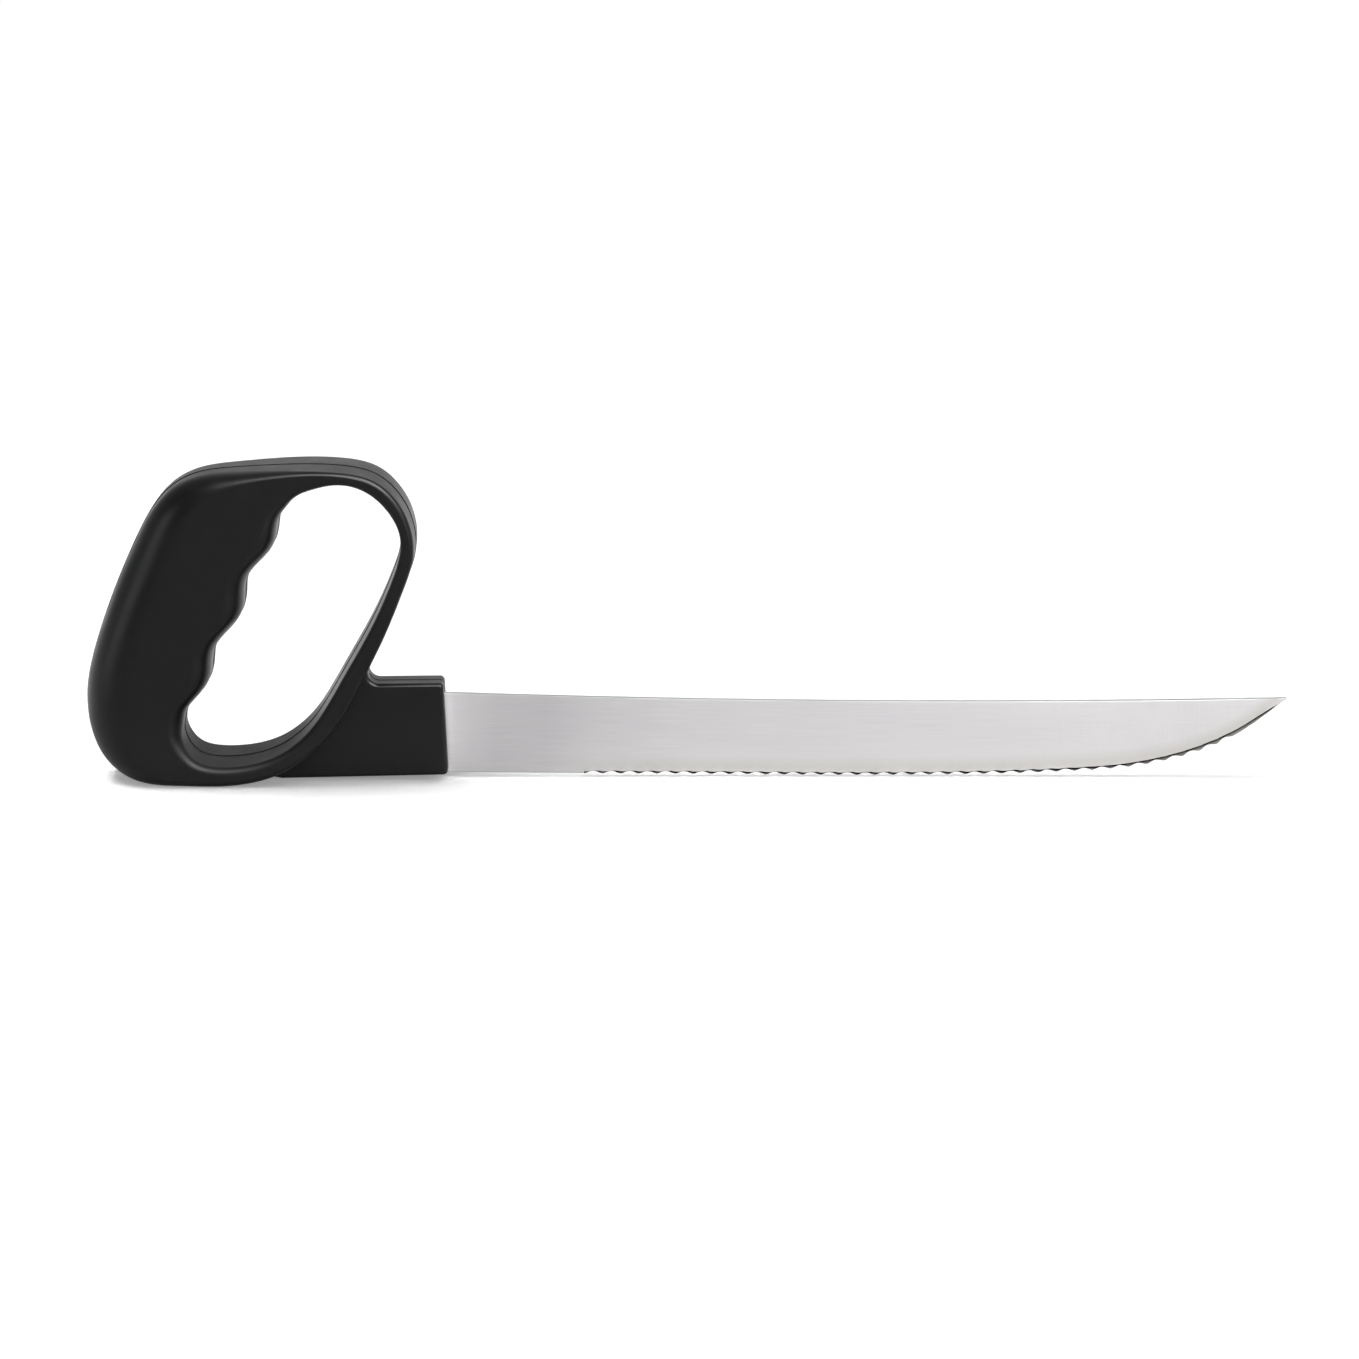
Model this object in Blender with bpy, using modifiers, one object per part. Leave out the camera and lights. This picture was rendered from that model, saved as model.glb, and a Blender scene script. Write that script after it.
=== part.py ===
"""Angled bread knife: a scalloped steel blade in a two-part moulded D-handle.

Frame: +X runs towards the blade's tip, +Z is up and the two handle shells meet on the
plane y = 0. The knife stands on the foot of its handle and the belly of its blade.
Lengths are given in millimetres and turned to metres by MM.
"""
import math

import bmesh
import bpy
import numpy as np
from mathutils import Matrix, Vector

MM = 0.001

# Fits
GAP = 0.3 * MM                # clearance wherever two pieces touch
REACH = 3.0 * MM              # how far a cutter runs past the face it meets

# How far each shape runs past the seam before the seam cut trims them all flush. They
# differ, so that no two of their faces lie in one plane.
LOOP_PAST_SEAM = REACH
BLOCK_PAST_SEAM = LOOP_PAST_SEAM + 1.0 * MM
HOLLOW_PAST_SEAM = BLOCK_PAST_SEAM + 2.0 * MM
BOSS_PAST_SEAM = HOLLOW_PAST_SEAM + 2.0 * MM

# Handle block round the tang
BLOCK_FRONT_X = -71.2 * MM    # at its foot
BLOCK_LEAN = 1.2 * MM         # how far the front leans back at its top
BLOCK_OVER_SPINE = 4.2 * MM   # how far its top stands above the blade's back
BLOCK_HALF = 6.0 * MM         # from the seam to the outer face
BLOCK_FOOT_FRONT_Z = 1.45 * MM
BLOCK_FOOT_REAR_Z = 0.35 * MM
BLOCK_FOOT_REAR_X = -121.0 * MM
BLOCK_EDGE = 1.1 * MM
BLOCK_EDGE_STEPS = 3
BLOCK_EDGE_ANGLE = math.radians(50.0)         # corners flatter than this stay as they are
BLOCK_CORNER = 1.4 * MM
BLOCK_FILLET = 3.3 * MM       # hollow corner where the block's top runs into the loop
# The block's hidden root goes straight in from the hollow corner's end and down the middle
# of the loop, between its sections: stations from that end to the first point, from one
# point to the next, and how many.
BLOCK_ROOT_START = 0.15
BLOCK_ROOT_STEP = 0.76
BLOCK_ROOT_COUNT = 7

# Blade
BLADE_THICK = 1.8 * MM
BLADE_LENGTH = 250.6 * MM     # from the handle block to the tip
BLADE_TIP_X = BLOCK_FRONT_X + BLADE_LENGTH
SPINE_LOW_BACK = 84.4 * MM    # behind the tip, where the hollow of the spine is deepest
SPINE_LOW_X = BLADE_TIP_X - SPINE_LOW_BACK
SPINE_LOW_Z = 23.1 * MM
SPINE_SAG = 2.7 * MM          # how much higher the spine is at the handle than at its lowest
TIP_HEIGHT = 0.4 * MM         # from the edge to the spine, at the very point
HEEL_EDGE_Z = 1.3 * MM        # lower edge of the blade where it leaves the handle
PLAIN_EDGE_Z = 0.95 * MM      # lower edge where the scallops start
EDGE_BREAK = 0.2 * MM         # small chamfer on the blunt edges
EDGE_LAND = 0.15 * MM         # thickness left at the ground edge
SCALLOP_COUNT = 36
SCALLOP_DEPTH = 0.85 * MM
SCALLOP_STEPS = 4
GRIND_AT_CREST = 0.18         # share of the grind's height left at the top of a scallop
GRIND_START = 0.4 * MM        # run over which the grind begins, behind the first scallop
GRIND_AT_TIP = 0.2 * MM
PLAIN_SECTIONS = 5            # along the plain edge next to the handle

# Line through the points of the teeth: how far behind the tip, how high, and the height of
# the grind above it, in mm. It runs on from the last row into the tip.
TOOTH_LINE = (
    (210.7, 0.56, 0.66),
    (179.4, 0.45, 0.66),
    (149.4, 0.17, 0.66),
    (124.4, 0.02, 0.68),
    (99.4, 0.25, 0.70),
    (79.4, 0.70, 0.74),
    (64.4, 1.35, 0.82),
    (49.4, 2.40, 0.92),
    (36.4, 4.60, 1.10),
    (25.8, 7.70, 1.40),
    (15.9, 12.20, 1.60),
    (6.8, 18.40, 1.30),
)
TOOTH_LINE_SCALLOPED = 10     # the scallops end at this row

# Tang, hidden in the handle
TANG_LOW_Z = 7.0 * MM
TANG_HIGH_Z = 21.0 * MM
TANG_END_WALL = 6.0 * MM      # handle left between the tang's end and the hand opening
TANG_CORNER = 2.0 * MM
SHOULDER_DEPTH = 3.0 * MM     # how far the blade's full height runs into the block
SHOULDER_RUN = 1.2 * MM
PIN_RADIUS = 2.0 * MM
PIN_COVER = 1.5 * MM          # handle left over each end of a pin
PIN_SHARES = {"tang_pin_front": 0.25, "tang_pin_rear": 0.75}      # along the hidden tang

# The D-shaped loop, one row a station, clockwise from the top of the grip, in mm: inner x
# and z, outer x and z, how much thinner each half is than the grip's, and the size of the
# inner and the outer edge, each in the loop's plane and across it.
GRIP_HALF = 15.0 * MM
LOOP_STATIONS = (
    (-120.7, 78.4, -146.0, 92.9, 0.6, 3.0, 9.0, 10.0, 12.0),
    (-116.7, 86.0, -134.0, 94.8, 1.6, 2.2, 4.0, 5.5, 7.5),
    (-110.3, 89.8, -119.5, 95.6, 2.3, 1.6, 2.0, 3.0, 3.6),
    (-102.2, 91.1, -105.5, 95.6, 2.7, 1.4, 1.6, 1.8, 2.0),
    (-94.2, 88.9, -93.2, 93.0, 2.7, 1.4, 1.6, 1.8, 2.0),
    (-88.8, 84.2, -85.4, 86.1, 2.7, 1.4, 1.5, 1.8, 2.0),
    (-85.2, 77.6, -81.7, 78.2, 2.6, 1.3, 1.4, 1.6, 1.8),
    (-85.0, 70.0, -81.0, 69.6, 2.5, 1.2, 1.3, 1.4, 1.6),
    (-88.0, 60.4, -83.8, 60.1, 2.5, 1.2, 1.3, 1.4, 1.5),
    (-93.5, 48.2, -89.0, 47.1, 2.5, 1.2, 1.3, 1.4, 1.5),
    (-100.3, 35.9, -94.6, 35.4, 2.5, 1.2, 1.3, 1.4, 1.5),
    (-107.1, 24.0, -100.4, 23.8, 2.4, 1.3, 1.4, 1.4, 1.5),
    (-112.6, 16.4, -106.3, 14.8, 2.1, 1.5, 1.6, 1.4, 1.5),
    (-120.0, 10.7, -115.4, 6.6, 1.4, 1.8, 2.0, 1.6, 1.6),
    (-128.2, 7.4, -125.8, 1.6, 0.6, 2.0, 2.4, 1.8, 2.0),
    (-137.0, 6.3, -138.0, -0.3, 0.0, 2.2, 2.6, 2.2, 2.4),
    (-144.6, 7.4, -151.0, -0.3, 0.0, 2.4, 3.0, 3.0, 3.4),
    (-149.4, 11.4, -164.2, 1.1, 0.0, 3.0, 4.0, 7.0, 7.0),
    (-150.5, 17.4, -174.6, 9.0, 0.0, 4.0, 8.0, 12.0, 12.0),
    (-147.1, 24.8, -179.2, 23.2, 0.0, 5.0, 12.5, 14.0, 14.0),
    (-141.7, 35.4, -176.9, 38.4, 0.0, 5.0, 12.5, 14.0, 14.0),
    (-134.8, 49.8, -171.6, 54.4, 0.0, 5.0, 12.5, 14.0, 14.0),
    (-128.2, 63.8, -165.1, 70.0, 0.0, 5.0, 12.5, 14.0, 14.0),
    (-123.4, 73.4, -156.5, 85.4, 0.0, 4.5, 11.5, 13.0, 13.5),
)
LOOP_STEPS = 4                # sections from one station to the next
CORNER_STEPS = 4              # facets round each edge of a section
SMALLEST_EDGE = 0.3 * MM
BAND_ROWS = (7, 15)           # the loop's thin front, from its corner down to its foot
GRIP_ROWS = (18, 25)          # the grip, from its foot up to the top of the loop
NEARBY = 0.1                  # step in stations, for measuring a direction
SAMPLES = 801                 # for measuring along a line
FOOT_Z = 0.0                  # the loop is cut flat here, where it stands

# Finger grooves: a cosine along the inner side of the grip
GROOVE_PITCH = 23.2 * MM
GROOVE_HEIGHT = 1.4 * MM      # from the mean line to a crest
GROOVE_CREST_X = -123.1 * MM
GROOVE_CREST_Z = 72.5 * MM    # the uppermost crest
GROOVE_FADE_TOP = (8.0 * MM, 15.0 * MM)       # along the grip, from the uppermost crest
GROOVE_FADE_FOOT = (-62.0 * MM, -52.0 * MM)
GROOVE_FADE_WIDTH = (14.0 * MM, 24.0 * MM)    # only where the loop is this wide or wider
GRIP_LEAN = math.radians(26.6)                # from upright, towards the blade

# Inside the grip
WALL = 2.6 * MM
RIB = 2.0 * MM
CAVITY_FOOT = 18.6 * MM       # height of the solid foot under the hollow
CAVITY_COVER = 6.6 * MM       # from the top of the loop down to the end of the hollow
RIB_COUNT = 2                 # they part the hollow into equal chambers
BOSS_RADIUS = 3.2 * MM
LOCATOR_RADIUS = 0.9 * MM
LOCATOR_LENGTH = 3.0 * MM     # how far a locating pin stands past the seam
LOCATOR_STATIONS = (1.3, 4.0, 15.4, 17.6)     # where the loop is solid; the ribs hold more

ROUND_STEPS = 20              # sides of a pin
SMOOTH_ANGLE = math.radians(40.0)


def spline(rows, where, closed):
    """Smooth curve through the rows, read at the given row numbers.

    Each stretch is a cubic whose slopes make the curvature run on from one stretch to
    the next; an open curve has no curvature at its ends.
    """
    rows = np.asarray(rows, dtype=float)
    count = len(rows)
    slope_matrix = np.zeros((count, count))
    right_side = np.zeros_like(rows)
    for i in range(count):
        before, after = i - 1, i + 1
        if closed:
            before, after = before % count, after % count
        elif i == 0:
            before = 0
        elif i == count - 1:
            after = i
        at_end = before == i or after == i
        slope_matrix[i, i] = 2.0 if at_end else 4.0
        slope_matrix[i, before] += 0.0 if before == i else 1.0
        slope_matrix[i, after] += 0.0 if after == i else 1.0
        right_side[i] = 3.0 * (rows[after] - rows[before])
    slopes = np.linalg.solve(slope_matrix, right_side)
    where = np.asarray(where, dtype=float)
    last = count if closed else count - 1
    first = np.floor(where).astype(int)
    if not closed:
        first = np.clip(first, 0, last - 1)
    t = (where - first)[:, None]
    a, b = first % count, (first + 1) % count
    return (rows[a] * (2 * t ** 3 - 3 * t ** 2 + 1) + slopes[a] * (t ** 3 - 2 * t ** 2 + t)
            + rows[b] * (3 * t ** 2 - 2 * t ** 3) + slopes[b] * (t ** 3 - t ** 2))


def ease(low, high, value):
    """0 below low, 1 above high, and a smooth step between."""
    t = np.clip((value - low) / (high - low), 0.0, 1.0)
    return t * t * (3.0 - 2.0 * t)


def loop_sections(where):
    """The loop's sections at the given stations: inner points, outer points and sizes."""
    rows = spline(LOOP_STATIONS, where, closed=True) * MM
    inner, outer, sizes = rows[:, 0:2], rows[:, 2:4], rows[:, 4:9]
    sizes[:, 0] = GRIP_HALF - sizes[:, 0]
    width = np.linalg.norm(inner - outer, axis=1)
    towards_hand = (inner - outer) / width[:, None]
    up_grip = np.array([math.sin(GRIP_LEAN), math.cos(GRIP_LEAN)])
    along = (inner - np.array([GROOVE_CREST_X, GROOVE_CREST_Z])) @ up_grip
    amount = (ease(*GROOVE_FADE_WIDTH, width) * ease(*GROOVE_FADE_FOOT, along)
              * (1.0 - ease(*GROOVE_FADE_TOP, along)))
    groove = amount * GROOVE_HEIGHT * np.cos(2.0 * math.pi * along / GROOVE_PITCH)
    inner = inner + towards_hand * groove[:, None]
    return inner, outer, sizes


def loop_middle(where):
    """Points halfway between the loop's inner and outer lines."""
    inner, outer, _ = loop_sections(np.asarray(where, dtype=float))
    return (inner + outer) / 2.0


def band_station(height, line):
    """Station where the loop's front passes a height, on its inner (0) or outer (1) line."""
    stations = np.linspace(*BAND_ROWS, SAMPLES)
    heights = loop_sections(stations)[line][:, 1]
    return float(np.interp(-height, -heights, stations))


def grip_station(height):
    """Station where the middle of the grip passes a height."""
    stations = np.linspace(*GRIP_ROWS, SAMPLES)
    return float(np.interp(height, loop_middle(stations)[:, 1], stations))


def cavity_stations():
    """Stations of the hollow grip's lower end, its ribs and its upper end, evenly apart."""
    _, outer, _ = loop_sections(np.linspace(0.0, len(LOOP_STATIONS), SAMPLES))
    low = grip_station(CAVITY_FOOT)
    high = grip_station(outer[:, 1].max() - CAVITY_COVER)
    return np.linspace(low, high, RIB_COUNT + 2)


def half_rings(inner, outer, sizes, side, past_seam, inset=0.0):
    """Half sections from the seam out to one side, as rings of points.

    Across the loop a section runs flat on its inner side, round an elliptic edge, flat
    on its face, round the outer edge and flat again. Inset draws it in on all sides.
    """
    width = np.linalg.norm(outer - inner, axis=1)
    across = (outer - inner) / width[:, None]
    half, inner_in, inner_up, outer_in, outer_up = np.maximum(sizes.T - inset, SMALLEST_EDGE)
    inner_up, outer_up = np.minimum(inner_up, half), np.minimum(outer_up, half)
    low, high = inset, width - inset
    beyond = np.full_like(width, -past_seam)
    profile = [(low + 0.0 * width, beyond)]
    for k in range(CORNER_STEPS + 1):
        angle = 0.5 * math.pi * k / CORNER_STEPS
        profile.append((low + inner_in * (1.0 - math.cos(angle)),
                        half - inner_up * (1.0 - math.sin(angle))))
    for k in range(CORNER_STEPS + 1):
        angle = 0.5 * math.pi * k / CORNER_STEPS
        profile.append((high - outer_in * (1.0 - math.sin(angle)),
                        half - outer_up * (1.0 - math.cos(angle))))
    profile.append((high, beyond))
    rings = np.zeros((len(width), len(profile), 3))
    for k, (reach, rise) in enumerate(profile):
        rings[:, k, 0] = inner[:, 0] + across[:, 0] * reach
        rings[:, k, 1] = side * rise
        rings[:, k, 2] = inner[:, 1] + across[:, 1] * reach
    return rings


def new_object(name, mesh, collection, parent=None):
    thing = bpy.data.objects.new(name, mesh)
    collection.objects.link(thing)
    thing.parent = parent
    return thing


def as_cutter(thing):
    thing.hide_render = True
    thing.display_type = "WIRE"
    return thing


def finish_bmesh(bm, name):
    """Faces out, then into a mesh."""
    bmesh.ops.recalc_face_normals(bm, faces=bm.faces)
    if bm.calc_volume(signed=True) < 0.0:
        bmesh.ops.reverse_faces(bm, faces=bm.faces)
    mesh = bpy.data.meshes.new(name)
    bm.to_mesh(mesh)
    bm.free()
    return mesh


def loft(name, rings, closed):
    """A solid skinned over rings of points, closed on itself or capped at its ends."""
    bm = bmesh.new()
    grid = [[bm.verts.new(point) for point in ring] for ring in rings]
    count = len(grid)
    for i in range(count if closed else count - 1):
        ring, after = grid[i], grid[(i + 1) % count]
        for k in range(len(ring)):
            n = (k + 1) % len(ring)
            bm.faces.new((ring[k], after[k], after[n], ring[n]))
    if not closed:
        bm.faces.new(grid[0])
        bm.faces.new(grid[-1])
    bmesh.ops.triangulate(bm, faces=bm.faces)
    return finish_bmesh(bm, name)


def box_mesh(name, low, high):
    bm = bmesh.new()
    size = Vector(high) - Vector(low)
    middle = (Vector(high) + Vector(low)) / 2.0
    matrix = Matrix.Translation(middle) @ Matrix.Diagonal(size).to_4x4()
    bmesh.ops.create_cube(bm, size=1.0, matrix=matrix)
    return finish_bmesh(bm, name)


def rod_mesh(name, radius, x, z, y_low, y_high):
    """A round bar along Y."""
    bm = bmesh.new()
    matrix = (Matrix.Translation((x, (y_low + y_high) / 2.0, z))
              @ Matrix.Rotation(math.pi / 2.0, 4, "X"))
    bmesh.ops.create_cone(bm, cap_ends=True, segments=ROUND_STEPS, radius1=radius,
                          radius2=radius, depth=y_high - y_low, matrix=matrix)
    return finish_bmesh(bm, name)


def plate_mesh(name, outline, y_low, y_high):
    """A flat outline in the X-Z plane, as a filled curve with thickness along Y."""
    curve = bpy.data.curves.new(name, "CURVE")
    curve.dimensions = "2D"
    curve.fill_mode = "BOTH"
    curve.extrude = (y_high - y_low) / 2.0
    line = curve.splines.new("POLY")
    line.points.add(len(outline) - 1)
    for point, (x, z) in zip(line.points, outline):
        point.co = (x, z, 0.0, 1.0)
    line.use_cyclic_u = True
    guide = bpy.data.objects.new(name, curve)
    bpy.context.scene.collection.objects.link(guide)
    bpy.context.view_layer.update()
    graph = bpy.context.evaluated_depsgraph_get()
    flat = bpy.data.meshes.new_from_object(guide.evaluated_get(graph))
    bpy.data.objects.remove(guide)
    bm = bmesh.new()
    bm.from_mesh(flat)
    bpy.data.meshes.remove(flat)
    bmesh.ops.remove_doubles(bm, verts=bm.verts, dist=0.001 * MM)
    upright = (Matrix.Translation((0.0, (y_low + y_high) / 2.0, 0.0))
               @ Matrix.Rotation(math.pi / 2.0, 4, "X"))
    bmesh.ops.transform(bm, matrix=upright, verts=bm.verts)
    return finish_bmesh(bm, name)


def arc(centre, radius, start, end, steps):
    """Points round a centre in the X-Z plane, from one angle to another, in degrees."""
    angles = np.radians(np.linspace(start, end, steps + 1))
    return [(centre[0] + radius * math.cos(a), centre[1] + radius * math.sin(a)) for a in angles]


def rounded_corner(before, corner, after, radius, steps):
    """A corner between two straight lines, turned to an arc that meets both."""
    corner = np.array(corner)
    back = np.array(before) - corner
    ahead = np.array(after) - corner
    back, ahead = back / np.linalg.norm(back), ahead / np.linalg.norm(ahead)
    half_angle = math.acos(float(np.clip(back @ ahead, -1.0, 1.0))) / 2.0
    middle = (back + ahead) / np.linalg.norm(back + ahead)
    centre = corner + middle * radius / math.sin(half_angle)
    start = corner + back * radius / math.tan(half_angle) - centre
    end = corner + ahead * radius / math.tan(half_angle) - centre
    first = math.atan2(start[1], start[0])
    turn = math.atan2(start[0] * end[1] - start[1] * end[0], float(start @ end))
    angles = first + turn * np.linspace(0.0, 1.0, steps + 1)
    return [(centre[0] + radius * math.cos(a), centre[1] + radius * math.sin(a)) for a in angles]


def spine_height(x):
    """Height of the blade's back: a shallow parabola, lowest at SPINE_LOW_X."""
    return SPINE_LOW_Z + SPINE_SAG * ((x - SPINE_LOW_X) / (SPINE_LOW_X - BLOCK_FRONT_X)) ** 2


def tooth_rows():
    """The tooth line in metres along X, and the tip as its last row."""
    rows = np.array(TOOTH_LINE) * MM
    rows[:, 0] = BLADE_TIP_X - rows[:, 0]
    tip = (BLADE_TIP_X, spine_height(BLADE_TIP_X) - TIP_HEIGHT, GRIND_AT_TIP)
    return np.vstack([rows, tip])


def edge_points():
    """The ground edge from the first scallop to the tip: x, z and height of the grind.

    The scallops are equal lengths of the tooth line. Within each, the edge rises square
    to the line as a shallow parabola and the grind narrows towards the crest.
    """
    rows = tooth_rows()
    fine = spline(rows, np.linspace(0, TOOTH_LINE_SCALLOPED, SAMPLES), closed=False)
    length = np.concatenate([[0.0], np.cumsum(np.hypot(*np.diff(fine[:, 0:2], axis=0).T))])
    steps = np.linspace(0.0, SCALLOP_COUNT, SCALLOP_COUNT * SCALLOP_STEPS + 1)
    at = steps / SCALLOP_COUNT * length[-1]
    line = np.stack([np.interp(at, length, column) for column in fine.T], axis=1)
    slope = np.gradient(line[:, 1], line[:, 0])
    normal = np.stack([-slope, np.ones_like(slope)], axis=1) / np.hypot(slope, 1.0)[:, None]
    place = 2.0 * (steps - np.floor(steps)) - 1.0
    rise = 1.0 - place ** 2
    line[:, 0:2] += normal * (rise * SCALLOP_DEPTH)[:, None]
    line[:, 2] *= 1.0 - rise * (1.0 - GRIND_AT_CREST)
    rest = len(rows) - 1 - TOOTH_LINE_SCALLOPED
    steps = np.linspace(TOOTH_LINE_SCALLOPED, len(rows) - 1, SCALLOP_STEPS * rest + 1)
    return np.concatenate([line, spline(rows, steps[1:], closed=False)])


def block_top():
    return spine_height(BLOCK_FRONT_X) + BLOCK_OVER_SPINE


def block_front(z):
    """The block's front face leans back with height."""
    return BLOCK_FRONT_X - BLOCK_LEAN * z / block_top()


def shoulder_x():
    """Where the blade narrows to its tang, inside the block."""
    return BLOCK_FRONT_X - BLOCK_LEAN - SHOULDER_DEPTH


def tang_end_x():
    """The tang stops short of the hand opening, at its own top corner."""
    inner, _, _ = loop_sections(np.array([band_station(TANG_HIGH_Z, 0)]))
    return inner[0, 0] + TANG_END_WALL


def blade_rings():
    """Upright sections of the blade, from the end of the tang to the tip.

    Each is five points: the far face's top and foot, the edge's land, where the grind
    or chamfer meets the near face, and the near face's top.
    """
    half = BLADE_THICK / 2.0

    def section(x, low, high, land_y, grind):
        return [(x, half, high), (x, half, low), (x, land_y, low),
                (x, -half, low + grind), (x, -half, high)]

    blunt_y = -half + EDGE_BREAK
    end, shoulder = tang_end_x(), shoulder_x()
    edge = edge_points()
    rings = [
        section(end, TANG_LOW_Z + TANG_CORNER, TANG_HIGH_Z - TANG_CORNER, blunt_y, EDGE_BREAK),
        section(end + TANG_CORNER, TANG_LOW_Z, TANG_HIGH_Z, blunt_y, EDGE_BREAK),
        section(shoulder - SHOULDER_RUN, TANG_LOW_Z, TANG_HIGH_Z, blunt_y, EDGE_BREAK),
    ]
    plain_end = edge[0, 0] - GRIND_START
    for x in np.linspace(shoulder, plain_end, PLAIN_SECTIONS):
        part = (x - shoulder) / (plain_end - shoulder)
        low = HEEL_EDGE_Z + (PLAIN_EDGE_Z - HEEL_EDGE_Z) * part
        rings.append(section(x, low, spine_height(x), blunt_y, EDGE_BREAK))
    ground_y = half - EDGE_LAND
    for x, z, grind in edge:
        high = max(spine_height(x), z + grind + EDGE_BREAK)
        rings.append(section(x, z, high, ground_y, grind))
    return np.array(rings)


def slot_outline():
    """The tang's outline grown by the clearance; its mouth is open in front and below."""
    end, shoulder = tang_end_x() - GAP, shoulder_x() - SHOULDER_RUN - GAP
    low, high = TANG_LOW_Z - GAP, TANG_HIGH_Z + GAP
    front = BLOCK_FRONT_X + REACH
    top = spine_height(shoulder) + GAP
    below = FOOT_Z - REACH
    return [(end, low), (end, high), (shoulder, high), (shoulder, top), (front, top),
            (front, below), (shoulder, below), (shoulder, low)]


def pin_places():
    """Name to x and z of each pin, on the tang's middle line."""
    middle = (TANG_LOW_Z + TANG_HIGH_Z) / 2.0
    hidden = BLOCK_FRONT_X - tang_end_x()
    return {name: (BLOCK_FRONT_X - share * hidden, middle) for name, share in PIN_SHARES.items()}


def pin_half():
    """Half a pin's length, which the block's width leaves."""
    return BLOCK_HALF - PIN_COVER - GAP


def block_outline():
    """The block round the tang: foot, leaning front, top, and a hollow corner into the loop."""
    centre_z = block_top() + BLOCK_FILLET
    fillet_end = band_station(centre_z, 1)
    _, outer, _ = loop_sections(fillet_end + np.array([-NEARBY, 0.0, NEARBY]))
    up_loop = (outer[0] - outer[2]) / np.linalg.norm(outer[0] - outer[2])
    outwards = np.array([up_loop[1], -up_loop[0]])
    touch = (BLOCK_FILLET + outwards[1] * (outer[1][1] - centre_z)) / outwards[0]
    centre = (outer[1][0] + touch, centre_z)
    top_front = (block_front(block_top()), block_top())
    foot_front = (block_front(BLOCK_FOOT_FRONT_Z), BLOCK_FOOT_FRONT_Z)
    foot_rear = (BLOCK_FOOT_REAR_X, BLOCK_FOOT_REAR_Z)
    loop_angle = math.degrees(math.atan2(-outwards[1], -outwards[0]))
    outline = rounded_corner(foot_rear, foot_front, top_front, BLOCK_CORNER, CORNER_STEPS)
    outline += rounded_corner(foot_front, top_front, centre, BLOCK_CORNER, CORNER_STEPS)
    outline += arc(centre, BLOCK_FILLET, 270.0, loop_angle % 360.0, CORNER_STEPS + 1)
    root = fillet_end + BLOCK_ROOT_START + BLOCK_ROOT_STEP * np.arange(BLOCK_ROOT_COUNT)
    outline += [tuple(point) for point in loop_middle(root)]
    outline.append(foot_rear)
    return outline


def cavity_spans():
    """Stretches of the hollow grip between its ribs, in stations."""
    low, *ribs, high = cavity_stations()
    ends = []
    for station in ribs:
        middle = loop_middle([station - NEARBY, station + NEARBY])
        per_station = np.linalg.norm(middle[1] - middle[0]) / (2.0 * NEARBY)
        half_rib = RIB / 2.0 / per_station
        ends.append((station - half_rib, station + half_rib))
    starts = [low] + [after for _, after in ends]
    stops = [before for before, _ in ends] + [high]
    return list(zip(starts, stops))


def boolean(target, tool, operation):
    change = target.modifiers.new(tool.name, "BOOLEAN")
    change.object = tool
    change.operation = operation
    change.solver = "EXACT"


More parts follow.
